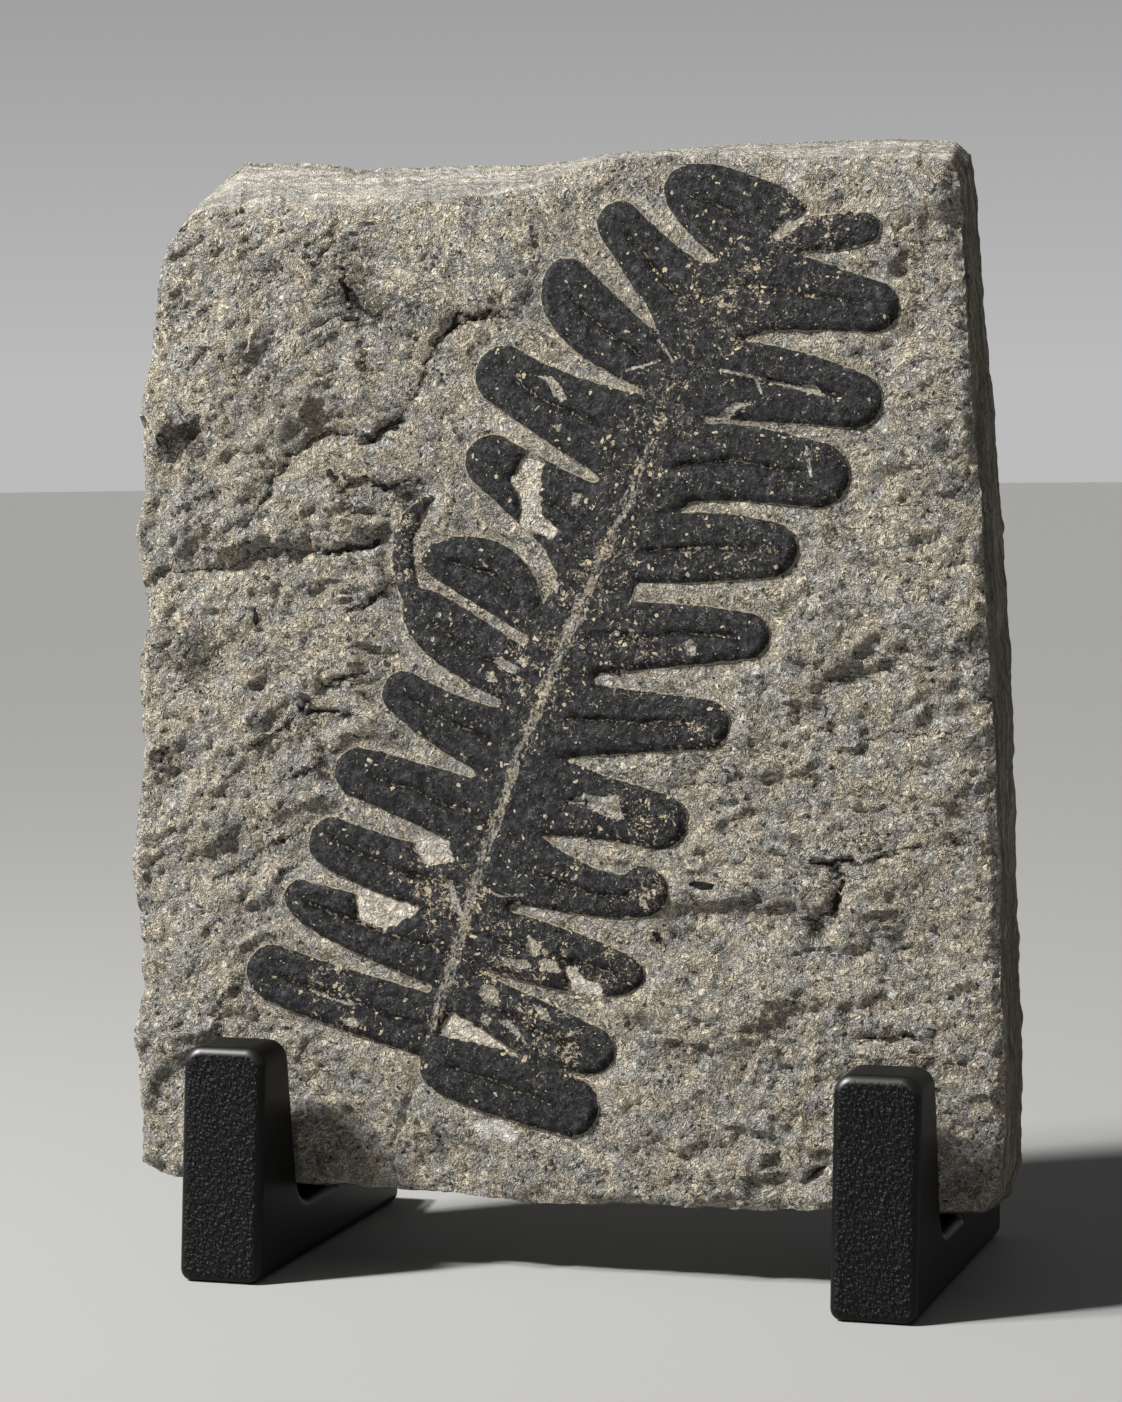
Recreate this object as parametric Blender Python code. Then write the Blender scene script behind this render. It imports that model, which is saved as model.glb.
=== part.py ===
"""Fossil fern plate.

A slab of fine sandstone, broken to a rough rectangle, carries the carbonised
frond of a seed fern and leans back on two identical black holders.

Lengths in this file are millimetres and are turned into metres when the
meshes are made.  Object frame: X to the right, Y to the back, Z up, origin in
the middle of the footprint at floor level.

Positions on the slab are (u, v): u runs to the right from the slab's leftmost
point and v runs up its face from its bottom edge.
"""

import math

import bmesh
import bpy
import numpy as np
from mathutils import Vector
from mathutils.geometry import delaunay_2d_cdt

MM = 0.001

# ---------------------------------------------------------------- dimensions

# Slab
SLAB_THICKNESS = 21.0
SLAB_LEAN = math.radians(8.0)          # top leans towards the back
SLAB_FOOT_Y = 25.0                     # face at v = 0, behind the holders' front
SLAB_FOOT_Z = 16.0                     # height of the face at v = 0
SLAB_LEFT_OVERHANG = 26.0              # u = 0 lies this far left of the left holder
FACE_CELL = 5.0                        # spacing of the stone's facets
BACK_CELL = 11.0
RIM_POINTS = 34                        # facets along each of the four sides

# Frond
FILM_GAP = 0.3                         # film floats this far off the stone
FILM_EDGE = 0.5                        # thickness at the rim of a pinnule
FILM_CROWN = 1.3                       # thickness at a pinnule's crown
MIDRIB_DEPTH = 0.6                     # groove along a pinnule
WING_LEFT = 8.0                        # blade left of the rachis, where pinnules join
WING_RIGHT = 9.0

# Holders
HOLDER_WIDTH = 18.0
HOLDER_SPACING = 139.0                 # left edge to left edge
HOLDER_DEPTH = 88.0
HOLDER_BASE = 12.8                     # height of the shelf under the slab
LUG_HEIGHT = 48.9
LUG_LEAN = 4.7                         # the lug's front face leans back this much
LUG_TOP_DEPTH = 14.6
LUG_ROOT_Y = 23.8                      # back of the lug where its fillet begins
LUG_FILLET = 6.5
LUG_CORNER = 3.2                       # rounding of the lug's upper corners
HOLDER_BEVEL = 1.2
REST_HEIGHT = 74.0                     # back rest behind the slab
REST_THICKNESS = 9.0
REST_GAP = 0.4
SHELF_GAP = 0.25

# ------------------------------------------------------- the slab's outlines

# Each side runs from the first corner to the next, going round anticlockwise.
FACE_SIDES = {
    "bottom": [(7.4, 4), (12, 1.3), (16, 0.7), (43, 1), (71, 0.9), (100, -0.8),
               (117, 0.5), (143, 0.2), (159, 1.3), (184, 2), (191, 2.5)],
    "right": [(194, 6), (195, 13), (194.5, 33), (192.8, 65), (191, 98), (188.4, 126),
              (186.2, 152), (183.3, 178), (182, 196), (180.3, 214)],
    "top": [(178.5, 217.4), (132, 219.8), (104, 219.3), (96, 217), (88, 213.4),
            (56, 211), (23, 211), (12, 210.8)],
    "left": [(8.5, 209.5), (5.5, 205), (3.2, 198), (3.8, 192), (2.3, 183), (0.7, 170),
             (2.5, 149), (0.2, 140), (3.7, 120), (1.4, 111), (4.4, 93), (2.5, 67),
             (6.1, 40), (4.6, 31), (6.6, 17)],
}
BACK_SIDES = {
    "bottom": [(8, 5), (14, 2), (45, 1.5), (72, 2), (101, 0.8), (143, 1.6), (186, 2), (190, 3)],
    "right": [(193, 5.5), (194.8, 12), (194.6, 33), (192.2, 77), (190.4, 114), (187, 151),
              (184.7, 173), (182.4, 190), (180, 215), (178.9, 222)],
    "top": [(175.4, 225.2), (159, 226), (126, 225.4), (102, 224.2), (84, 222.4), (41, 222.4),
            (34, 223.9), (15, 224.4), (11, 221.3)],
    "left": [(5.5, 216), (4.5, 205), (5, 190), (2.5, 170), (4, 149), (2, 140), (5, 120),
             (3, 111), (6, 93), (4, 67), (7.5, 40), (6.5, 31), (8, 17)],
}
# Each ring of the rim: how far towards the back, how far it swells outwards
# and how much its bedding layers stand in and out.
RIM_RINGS = [(0.10, 0.3, 0.2), (0.35, 0.4, 0.5), (0.62, 0.3, 0.5), (0.88, 0.3, 0.3)]

# ------------------------------------------------------ relief of the stone

# Ledges: (height, reach, line).  The stone on the left of the line stands
# proud by the height and sinks back to the bedding plane over the reach.
LEDGES = [
    (2.4, 24, [(26, 140), (30, 147), (36, 157), (45, 162), (56, 160), (64, 167)]),
    (1.9, 14, [(62, 166), (66, 174), (65, 177), (71, 184), (76, 186), (88, 186)]),
    (1.2, 10, [(47, 148), (54, 151), (61, 150), (72, 151)]),
    (2.6, 20, [(4, 132), (16, 132), (25, 133), (32, 137), (39, 136), (48, 136),
               (55, 137), (61, 144)]),
    (1.0, 9, [(50, 121), (54, 125), (62, 127)]),
    (1.0, 9, [(42, 104), (49, 109), (59, 109)]),
    (1.4, 12, [(28, 92), (37, 99), (41, 104), (45, 101), (57, 101)]),
    (1.2, 11, [(34, 84), (41, 88), (48, 92)]),
    (1.2, 12, [(20, 64), (30, 70), (41, 76), (46, 80)]),
    (1.0, 12, [(191, 78), (181, 76), (174, 75), (165, 74), (155, 75), (148, 72)]),
    (0.9, 9, [(168, 69), (159, 70), (154, 72), (145, 73)]),
    (0.9, 8, [(150, 61), (155, 60), (159, 63), (160, 68)]),
    (0.8, 10, [(186, 142), (179, 144), (170, 146), (160, 144)]),
    (0.9, 12, [(190, 98), (171, 99), (161, 97), (150, 100)]),
    (0.7, 10, [(181, 36), (175, 37), (163, 35)]),
]
# Lumps and hollows: (u, v, radius, height)
LUMPS = [
    (27, 190, 20, 1.6), (14, 168, 14, 1.0), (32, 168, 12, 0.8), (52, 193, 8, -2.6),
    (30, 196, 5, -1.2), (29, 178, 6, -1.4), (13, 160, 7, -1.8), (18, 148, 5, -1.0),
    (45, 148, 9, 1.0), (20, 120, 10, 0.9), (17, 111, 7, -1.8), (25, 100, 9, 0.8),
    (13, 88, 7, -1.3), (22, 80, 12, 1.0), (28, 72, 6, -0.8), (20, 50, 12, 0.7),
    (12, 30, 8, 0.8), (176, 160, 10, 0.8), (172, 184, 8, -0.9), (175, 205, 9, 0.6),
    (176, 124, 12, 0.7), (168, 112, 8, -0.6), (155, 58, 4, -1.2), (172, 68, 6, 0.8),
    (150, 40, 14, 0.7), (178, 52, 10, -0.6), (130, 62, 8, -0.5), (125, 32, 10, 0.6),
    (98, 8, 10, 0.7), (60, 12, 12, 0.6), (150, 14, 12, 0.8), (60, 198, 14, 0.7),
]

# -------------------------------------------------------------- the frond

RACHIS = [(66, 12), (71, 28), (74, 39), (77, 49), (80, 61), (84, 75), (88, 86), (92, 98), (97, 111),
          (106, 132), (116, 156), (127, 179), (137, 195), (147, 208)]

# Each pinnule follows a bent midline from its root to its tip:
# root, bend, tip, then its half widths there.
PINNULES = {
    "left_01": ((85, 32), (40, 43), (36, 45.5), (7, 6.5, 6)),
    "left_02": ((94, 46), (43, 58.5), (41.5, 62), (8.5, 6.5, 3.5)),
    "left_03": ((85.5, 63), (57, 69), (48.5, 73.5), (7, 6.5, 5.5)),
    "left_04": ((82.5, 74.5), (94, 77), (54, 88.5), (7.5, 8.5, 5.5)),
    "left_05": ((90, 94), (76.5, 97), (63.5, 105.5), (8, 6.5, 5)),
    "left_06": ((99.5, 104), (72, 117.5), (67.5, 123), (5, 8.5, 5)),
    "left_07": ((91, 120.5), (86, 133), (70.5, 134), (2.5, 11, 4)),
    "left_08": ((104.5, 139.5), (108, 137.5), (81.5, 155), (11, 9.5, 6)),
    "left_09": ((112, 159.5), (94.5, 166.5), (83.5, 173.5), (10, 7, 6.5)),
    "left_10": ((123.5, 171), (97.5, 186), (97, 193), (4, 10, 5.5)),
    "left_11": ((127, 186), (122.5, 188.5), (108, 205.5), (11, 7, 5)),
    "left_12": ((139, 203), (126, 211), (122.5, 212.5), (10.5, 8.5, 5)),
    "right_01": ((75.5, 27), (77.5, 25), (103.5, 19), (6, 9, 6.5)),
    "right_02": ((78, 43.5), (100, 32.5), (108, 31.5), (5, 7.5, 5)),
    "right_03": ((68, 59), (110, 47), (116, 47.5), (6, 8.5, 3)),
    "right_04": ((86.5, 71), (111.5, 61), (118, 65), (9, 3, 5.5)),
    "right_05": ((95.5, 84.5), (108, 82.5), (121, 79.5), (8.5, 6.5, 6)),
    "right_06": ((94, 100.5), (110, 100.5), (130, 100), (9, 7, 5.5)),
    "right_07": ((97.5, 117.5), (125, 119), (138.5, 118.5), (8.5, 7, 5)),
    "right_08": ((112.5, 134.5), (120, 138), (143, 136.5), (5, 9.5, 6)),
    "right_09": ((120.5, 151), (122.5, 158), (152.5, 152), (7, 9.5, 7)),
    "right_10": ((133, 172), (143.5, 171.5), (160, 167.5), (8.5, 8.5, 6)),
    "right_11": ((136.5, 191), (128.5, 193.5), (163.5, 187), (10, 10.5, 5.5)),
    "right_12": ((143, 202), (152, 202.5), (161, 203.5), (3.5, 4.5, 3.5)),
}
# A curled scrap of blade that joins the tip of the sixth left pinnule.
SCRAP = ((68, 146), (59.5, 139), (65, 125), (0.8, 2.4, 1.6))

# Places where the film has flaked away down to the stone.
FLAKED = {
    "left_08": [(86, 151), (89, 156.5), (93, 154.5), (92, 148), (93, 143.5), (97, 140.5),
                (95.5, 139), (88, 141.5), (88.5, 147)],
    "left_02": [(54.5, 61.5), (56, 63.5), (68, 60.3), (68.5, 59), (61, 55.5), (55, 57.5)],
    "left_03": [(67.3, 73), (68, 75), (74.5, 74), (76, 70.3), (71, 69), (68.5, 70.5)],
    "right_03": [(101.5, 48.5), (104, 48.5), (105, 46.5), (109.5, 45.5), (109, 42.6), (103.5, 43)],
    "right_01": [(76, 36.7), (79.7, 36.9), (84.5, 34.2), (90, 30.9), (91.7, 29.5), (86.5, 31.4),
                 (82, 32.4), (77.5, 33), (75, 33.3)],
}


# ------------------------------------------------------------- plane geometry

def bezier(root, bend, tip, count):
    """Points along a bent line, with their place from 0 at the root to 1 at the tip."""
    t = np.linspace(0.0, 1.0, count)
    a, b, c = (np.array(p, float) for p in (root, bend, tip))
    points = np.outer((1 - t) ** 2, a) + np.outer(2 * t * (1 - t), b) + np.outer(t * t, c)
    return points, t


def blend3(values, t):
    return (1 - t) ** 2 * values[0] + 2 * t * (1 - t) * values[1] + t * t * values[2]


def offset_line(line, distance):
    """A line moved to its left by a distance."""
    tangent = np.gradient(line, axis=0)
    tangent /= np.linalg.norm(tangent, axis=1)[:, None]
    return line + distance * np.stack([-tangent[:, 1], tangent[:, 0]], 1)


def inside(points, polygon):
    """Which points lie inside a polygon."""
    x, y = points[:, 0], points[:, 1]
    found = np.zeros(len(points), bool)
    for a, b in zip(polygon, np.roll(polygon, -1, axis=0)):
        crosses = (a[1] > y) != (b[1] > y)
        if a[1] == b[1]:
            continue
        at = a[0] + (y - a[1]) / (b[1] - a[1]) * (b[0] - a[0])
        found ^= crosses & (x < at)
    return found


def distance_to_line(points, line):
    """Distance to a polyline, its side (left is +1) and the place along it from 0 to 1."""
    best = np.full(len(points), np.inf)
    side = np.zeros(len(points))
    place = np.zeros(len(points))
    lengths = np.linalg.norm(np.diff(line, axis=0), axis=1)
    total, run = lengths.sum(), 0.0
    for a, b, length in zip(line[:-1], line[1:], lengths):
        ab = (b - a) / length
        rel = points - a
        s = np.clip(rel @ ab, 0, length)
        away = np.linalg.norm(rel - s[:, None] * ab, axis=1)
        nearer = away < best
        cross = ab[0] * rel[:, 1] - ab[1] * rel[:, 0]
        best = np.where(nearer, away, best)
        side = np.where(nearer, np.sign(cross), side)
        place = np.where(nearer, (run + s) / total, place)
        run += length
    return best, side, place


def distance_to_polygon(points, polygon):
    """Signed distance to a polygon's edge: negative inside it."""
    ring = np.array(polygon, float)
    away, _, _ = distance_to_line(points, np.vstack([ring, ring[:1]]))
    return np.where(inside(points, ring), -away, away)


def distance_to_frond(points, flaked=False):
    """Signed distance to the edge of the blade: negative on the blade.

    Each pinnule ends at the rachis, and neighbouring pinnules run into each
    other with a small web between them.
    """
    web = 0.5
    away, side, place = distance_to_line(points, np.array(RACHIS, float))
    past_rachis = {"left": -side * away - 0.8, "right": side * away - 0.8, "scrap": -np.inf}
    reach = np.where(side > 0, WING_LEFT, WING_RIGHT)
    reach = reach * smoothstep(place, 0.05, 0.28) * (1 - 0.25 * smoothstep(place, 0.65, 0.85))
    reach = reach * (1 - 0.8 * smoothstep(place, 0.9, 0.98)) - 2 * (place < 0.08)
    total = np.exp(np.clip((reach - away) / web, -40, 40))
    for name, (root, bend, tip, widths) in {**PINNULES, "scrap": SCRAP}.items():
        line, t = bezier(root, bend, tip, 24)
        away = np.linalg.norm(points[:, None] - line[None], axis=2) - blend3(widths, t)[None]
        away = np.maximum(away.min(axis=1), past_rachis[name.split("_")[0]])
        total += np.exp(np.clip(-away / web, -40, 40))
    distance = -web * np.log(total + 1e-30)
    if flaked:
        for patch in FLAKED.values():
            distance = np.maximum(distance, -distance_to_polygon(points, patch))
    return distance


def smoothstep(x, low, high):
    t = np.clip((x - low) / (high - low), 0, 1)
    return t * t * (3 - 2 * t)


def face_height(points):
    """How far the stone stands out of the bedding plane that carries the frond."""
    points = np.asarray(points, float)
    height = 0.35 * np.sin(points[:, 0] / 9.0 + 1.3) * np.sin(points[:, 1] / 11.0)
    height += 0.25 * np.sin(points[:, 0] / 4.1) * np.cos(points[:, 1] / 5.3 + 0.6)
    for u, v, radius, tall in LUMPS:
        away2 = ((points - (u, v)) ** 2).sum(axis=1)
        height += tall * np.exp(-away2 / (2 * (radius / 1.7) ** 2))
    for tall, reach, line in LEDGES:
        away, side, place = distance_to_line(points, np.array(line, float))
        ends = smoothstep(place, 0, 0.15) * smoothstep(1 - place, 0, 0.15)
        height += np.where(side > 0, tall * ends * np.exp(-(away / reach) ** 2), 0)
    return height * smoothstep(distance_to_frond(points), 0.9, 3.5)


def closed_contours(distance, low, high, cell, level=0.0):
    """Closed outlines, inside on the left, where distance(points) crosses a level."""
    us, vs = np.arange(low[0], high[0], cell), np.arange(low[1], high[1], cell)
    grid = np.stack(np.meshgrid(us, vs, indexing="ij"), -1)
    field = distance(grid.reshape(-1, 2)).reshape(grid.shape[:2]) - level
    solid = field < 0
    corners = [(0, 0), (1, 0), (1, 1), (0, 1)]
    mixed = solid[:-1, :-1] | solid[1:, :-1] | solid[1:, 1:] | solid[:-1, 1:]
    mixed &= ~(solid[:-1, :-1] & solid[1:, :-1] & solid[1:, 1:] & solid[:-1, 1:])
    following, crossing = {}, {}
    for i, j in zip(*np.nonzero(mixed)):
        around = [(i + a, j + b) for a, b in corners]
        for k in range(4):
            here, ahead = around[k], around[(k + 1) % 4]
            if not (solid[here] and not solid[ahead]):
                continue
            back = k
            while solid[around[back - 1]]:
                back -= 1
            start, end = frozenset((here, ahead)), frozenset((around[back - 1], around[back]))
            following[start] = end
            for edge in (start, end):
                p, q = sorted(edge)
                share = field[p] / (field[p] - field[q])
                crossing[edge] = grid[p] * (1 - share) + grid[q] * share
    loops = []
    while following:
        at, loop = next(iter(following)), []
        while at in following:
            loop.append(crossing[at])
            at = following.pop(at)
        loops.append(np.array(loop))
    return loops


def thinned(loop, tolerance):
    """A closed outline with only the points that its shape needs."""
    far = int(np.linalg.norm(loop - loop[0], axis=1).argmax())
    kept = {0, far}
    spans = [(0, far), (far, len(loop))]
    closed = np.vstack([loop, loop[:1]])
    while spans:
        a, b = spans.pop()
        if b - a < 2:
            continue
        along = closed[b] - closed[a]
        rel = closed[a + 1:b] - closed[a]
        away = np.abs(along[0] * rel[:, 1] - along[1] * rel[:, 0]) / max(np.linalg.norm(along), 1e-9)
        worst = int(away.argmax())
        if away[worst] > tolerance:
            kept.add(a + 1 + worst)
            spans += [(a, a + 1 + worst), (a + 1 + worst, b)]
    return loop[sorted(kept)]


def frond_outlines(cell, tolerance, level=0.0, flaked=True, smallest=6.0):
    """Outlines of the blade; openings smaller than a few square millimetres are filled."""
    loops = closed_contours(lambda p: distance_to_frond(p, flaked), (24, 6), (175, 224), cell, level)
    rings = []
    for loop in loops:
        u, v = loop[:, 0], loop[:, 1]
        area = 0.5 * abs(np.dot(u, np.roll(v, -1)) - np.dot(v, np.roll(u, -1)))
        if area > smallest:
            rings.append(thinned(loop, tolerance))
    return rings


def inside_rings(points, rings):
    found = np.zeros(len(points), bool)
    for ring in rings:
        found ^= inside(points, ring)
    return found


# ------------------------------------------------------------ mesh building

def triangulate(points, edges):
    """Triangles over points, with the given edges kept."""
    made = delaunay_2d_cdt([Vector(p) for p in points], edges, [], 0, 1e-4)
    return np.array([tuple(v) for v in made[0]]), [tuple(f) for f in made[2]]


def ring_edges(first, count):
    return [(first + i, first + (i + 1) % count) for i in range(count)]


def outward(ring):
    """Unit directions that point out of a closed ring."""
    tangent = np.roll(ring, -1, axis=0) - np.roll(ring, 1, axis=0)
    tangent /= np.linalg.norm(tangent, axis=1)[:, None]
    return np.stack([tangent[:, 1], -tangent[:, 0]], 1)


def resample(sides, count):
    """One closed ring with the same number of points on each of the four sides."""
    order = ["bottom", "right", "top", "left"]
    ring = []
    for name, following in zip(order, order[1:] + order[:1]):
        line = np.array(sides[name] + sides[following][:1], float)
        steps = np.r_[0, np.cumsum(np.linalg.norm(np.diff(line, axis=0), axis=1))]
        at = np.linspace(0, steps[-1], count, endpoint=False)
        ring += list(np.stack([np.interp(at, steps, line[:, i]) for i in (0, 1)], 1))
    ring = np.array(ring)
    wander = 0.3 * np.sin(np.arange(len(ring)) * 2.1) + 0.2 * np.sin(np.arange(len(ring)) * 0.9)
    return ring + outward(ring) * wander[:, None]


def grid_points(outline, cell, keep):
    """Staggered points inside an outline, clear of it and accepted by keep()."""
    low, high = outline.min(axis=0), outline.max(axis=0)
    rows = []
    for j, v in enumerate(np.arange(low[1], high[1], cell * 0.87)):
        u = np.arange(low[0], high[0], cell) + (j % 2) * cell / 2
        rows.append(np.stack([u, np.full(len(u), v)], 1))
    points = np.vstack(rows)
    points[:, 0] += 0.18 * cell * np.sin(points[:, 1] * 1.7 + points[:, 0] * 0.9)
    points[:, 1] += 0.18 * cell * np.sin(points[:, 0] * 1.3 - points[:, 1] * 0.7)
    closed = np.vstack([outline, outline[:1]])
    away, _, _ = distance_to_line(points, closed)
    return points[inside(points, outline) & (away > cell * 0.55) & keep(points)]


def on_slab(points, out):
    """Object-space positions in metres of points on the slab, out = height off the face."""
    points = np.asarray(points, float)
    out = np.broadcast_to(out, (len(points),))
    c, s = math.cos(SLAB_LEAN), math.sin(SLAB_LEAN)
    x = points[:, 0] - SLAB_LEFT_OVERHANG
    y = SLAB_FOOT_Y + points[:, 1] * s - out * c
    z = SLAB_FOOT_Z + points[:, 1] * c + out * s
    return np.stack([x, y, z], 1) * MM


def make_object(name, positions, faces, material):
    mesh = bpy.data.meshes.new(name)
    mesh.from_pydata([tuple(p) for p in positions], [], [tuple(int(i) for i in f) for f in faces])
    mesh.materials.append(material)
    obj = bpy.data.objects.new(name, mesh)
    bpy.context.scene.collection.objects.link(obj)
    shape = bmesh.new()
    shape.from_mesh(mesh)
    bmesh.ops.remove_doubles(shape, verts=shape.verts, dist=2e-5)
    bmesh.ops.recalc_face_normals(shape, faces=shape.faces)
    shape.to_mesh(mesh)
    shape.free()
    return obj


def principled(name, colour, roughness, metallic=0.0):
    material = bpy.data.materials.new(name)
    material.use_nodes = True
    shader = material.node_tree.nodes["Principled BSDF"]
    shader.inputs["Base Color"].default_value = (*colour, 1.0)
    shader.inputs["Roughness"].default_value = roughness
    shader.inputs["Metallic"].default_value = metallic
    material.diffuse_color = (*colour, 1.0)
    return material


# ------------------------------------------------------------------- slab

def ledge_lines():
    """Two close lines along every ledge, so that its riser is steep."""
    lines = []
    for _, _, line in LEDGES:
        line = np.array(line, float)
        for shift in (0.35, -0.35):
            lines.append(offset_line(line, shift))
    return lines


def slab_face(ring):
    """Points and triangles of the decorated face, with the ring as its boundary."""
    points, edges = [tuple(p) for p in ring], ring_edges(0, len(ring))
    closed = np.vstack([ring, ring[:1]])
    for blade in frond_outlines(1.0, 0.35, level=0.8, flaked=False):
        blade = blade[inside(blade, ring) & (distance_to_line(blade, closed)[0] > 1.0)]
        edges += ring_edges(len(points), len(blade))
        points += [tuple(p) for p in blade]
    for line in ledge_lines():
        line = line[inside(line, ring) & (distance_to_frond(line) > 1.2)
                    & (distance_to_line(line, closed)[0] > 1.0)]
        edges += [(len(points) + i, len(points) + i + 1) for i in range(len(line) - 1)]
        points += [tuple(p) for p in line]
    taken = np.array(points)

    def open_stone(candidates):
        clear = np.array([np.linalg.norm(taken - p, axis=1).min() for p in candidates])
        return (clear > FACE_CELL * 0.42) & (distance_to_frond(candidates) > 0.5)

    points += [tuple(p) for p in grid_points(ring, FACE_CELL, open_stone)]
    placed, triangles = triangulate(points, edges)
    centres = np.array([placed[list(f)].mean(axis=0) for f in triangles])
    return placed, [f for f, keep in zip(triangles, inside(centres, ring)) if keep]


def slab_back(ring):
    points, edges = [tuple(p) for p in ring], ring_edges(0, len(ring))
    points += [tuple(p) for p in grid_points(ring, BACK_CELL, lambda p: np.ones(len(p), bool))]
    placed, triangles = triangulate(points, edges)
    centres = np.array([placed[list(f)].mean(axis=0) for f in triangles])
    return placed, [f for f, keep in zip(triangles, inside(centres, ring)) if keep]


def build_slab(material):
    face_ring = resample(FACE_SIDES, RIM_POINTS)
    back_ring = resample(BACK_SIDES, RIM_POINTS)
    count = len(face_ring)
    place = np.arange(count)

    face_points, face_triangles = slab_face(face_ring)
    back_points, back_triangles = slab_back(back_ring)
    if not (np.allclose(face_points[:count], face_ring) and np.allclose(back_points[:count], back_ring)):
        raise ValueError("a ring lost its points")

    heights = face_height(face_points)
    heights[:count] = -0.9 + 0.5 * np.sin(place * 1.9) + 0.3 * np.sin(place * 0.83)
    positions = [on_slab(face_points, heights)]
    faces = list(face_triangles)
    first = len(face_points)

    rings = [np.arange(count)]
    for depth, swell, layer in RIM_RINGS:
        line = face_ring * (1 - depth) + back_ring * depth
        line = line + outward(line) * (swell + layer * np.sin(place * 2.4 + depth * 40))[:, None]
        line[:, 1] = np.maximum(line[:, 1], 0.3)
        out = -depth * SLAB_THICKNESS + 0.4 * np.sin(place * 1.3 + depth * 25)
        positions.append(on_slab(line, out))
        rings.append(first + place)
        first += count
    back_heights = -SLAB_THICKNESS + 0.8 - 0.8 * np.cos(back_points[:, 0] / 13) * np.cos(back_points[:, 1] / 17)
    back_heights[:count] = -SLAB_THICKNESS + 0.9
    positions.append(on_slab(back_points, back_heights))
    rings.append(first + place)
    faces += [tuple(first + i for i in f) for f in back_triangles]

    for near, far in zip(rings[:-1], rings[1:]):
        for i in range(count):
            j = (i + 1) % count
            faces += [(near[i], near[j], far[j]), (near[i], far[j], far[i])]
    return make_object("stone_slab", np.vstack(positions), faces, material)


# ------------------------------------------------------------------- frond

def film_thickness(points):
    """Thick at the crowns, thin at the rims, with a groove along each midrib."""
    inside_by = -distance_to_frond(points)
    thick = FILM_EDGE + (FILM_CROWN - FILM_EDGE) * smoothstep(inside_by, 0.2, 3.2)
    groove = np.zeros(len(points))
    for root, bend, tip, widths in PINNULES.values():
        line, t = bezier(root, bend, tip, 24)
        away = np.linalg.norm(points[:, None] - line[None], axis=2)
        near = away.min(axis=1)
        fade = smoothstep(1 - t[away.argmin(axis=1)], 0.02, 0.35)
        groove = np.maximum(groove, (1 - smoothstep(near, 0.0, 1.4)) * fade)
    return thick - MIDRIB_DEPTH * groove


def blade_ribs():
    """Points along each midrib and along the crowns on both sides of it."""
    ribs = []
    for root, bend, tip, widths in PINNULES.values():
        line, t = bezier(root, bend, tip, 6)
        across = offset_line(line, 1.0) - line
        for shift in (-0.5, 0.0, 0.5):
            ribs.append(line + across * (blend3(widths, t) * shift)[:, None])
    ribs = np.vstack(ribs + [np.array(RACHIS, float)[2:-1]])
    ribs = ribs[distance_to_frond(ribs, True) < -1.4]
    chosen = []
    for p in ribs:
        if all(np.hypot(*(p - q)) > 2.2 for q in chosen):
            chosen.append(p)
    return chosen


def build_frond(material):
    rings = frond_outlines(0.8, 0.2)
    rim, edges = [], []
    for ring in rings:
        edges += ring_edges(len(rim), len(ring))
        rim += [tuple(p) for p in ring]
    count = len(rim)

    def blade(points):
        placed, triangles = triangulate(points, edges)
        if not np.allclose(placed[:count], rim, atol=1e-3):
            raise ValueError("the blade's rim lost its points")
        centres = np.array([placed[list(f)].mean(axis=0) for f in triangles])
        return placed, [f for f, keep in zip(triangles, inside_rings(centres, rings)) if keep]

    crown, front = blade(rim + [tuple(p) for p in blade_ribs()])
    base, back = blade(rim)
    first = len(crown)
    faces = front + [tuple(first + i for i in f) for f in back]
    for a, b in edges:
        faces += [(b, a, first + a), (b, first + a, first + b)]
    thickness = film_thickness(crown)
    thickness[:count] = FILM_EDGE
    positions = np.vstack([on_slab(crown, FILM_GAP + thickness), on_slab(base, FILM_GAP)])
    return make_object("fern_frond", positions, faces, material)


# ----------------------------------------------------------------- holders

def holder_section():
    """Side view of a holder as (y, z): lug, shelf, back rest and foot."""
    section = [(0.0, 0.0), (HOLDER_DEPTH, 0.0), (HOLDER_DEPTH, HOLDER_BASE * 0.72)]
    c, s = math.cos(SLAB_LEAN), math.sin(SLAB_LEAN)
    back_y = SLAB_FOOT_Y + SLAB_THICKNESS * c
    back_z = SLAB_FOOT_Z - SLAB_THICKNESS * s

    def rest(z, shift):
        return back_y + (z - back_z) * math.tan(SLAB_LEAN) + REST_GAP + shift

    section += [(rest(HOLDER_BASE, REST_THICKNESS + 7), HOLDER_BASE),
                (rest(HOLDER_BASE + 7, REST_THICKNESS), HOLDER_BASE + 7),
                (rest(REST_HEIGHT, REST_THICKNESS), REST_HEIGHT),
                (rest(REST_HEIGHT, 0), REST_HEIGHT),
                (rest(HOLDER_BASE - SHELF_GAP, 0), back_z - SHELF_GAP)]
    shelf = back_z - SHELF_GAP
    lug_back = math.atan2(LUG_HEIGHT - 20, LUG_LEAN + LUG_TOP_DEPTH - LUG_ROOT_Y)
    # Fillet between the shelf and the back of the lug.
    reach = LUG_FILLET / math.tan(lug_back / 2)
    corner = (LUG_ROOT_Y + (20 - shelf) / math.tan(math.pi - lug_back), shelf)
    centre = (corner[0] + reach, shelf + LUG_FILLET)
    for k in range(6):
        a = -math.pi / 2 - (math.pi - lug_back) * k / 5
        section.append((centre[0] + LUG_FILLET * math.cos(a), centre[1] + LUG_FILLET * math.sin(a)))
    section += [(LUG_LEAN + LUG_TOP_DEPTH, LUG_HEIGHT), (LUG_LEAN, LUG_HEIGHT)]
    return section


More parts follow.
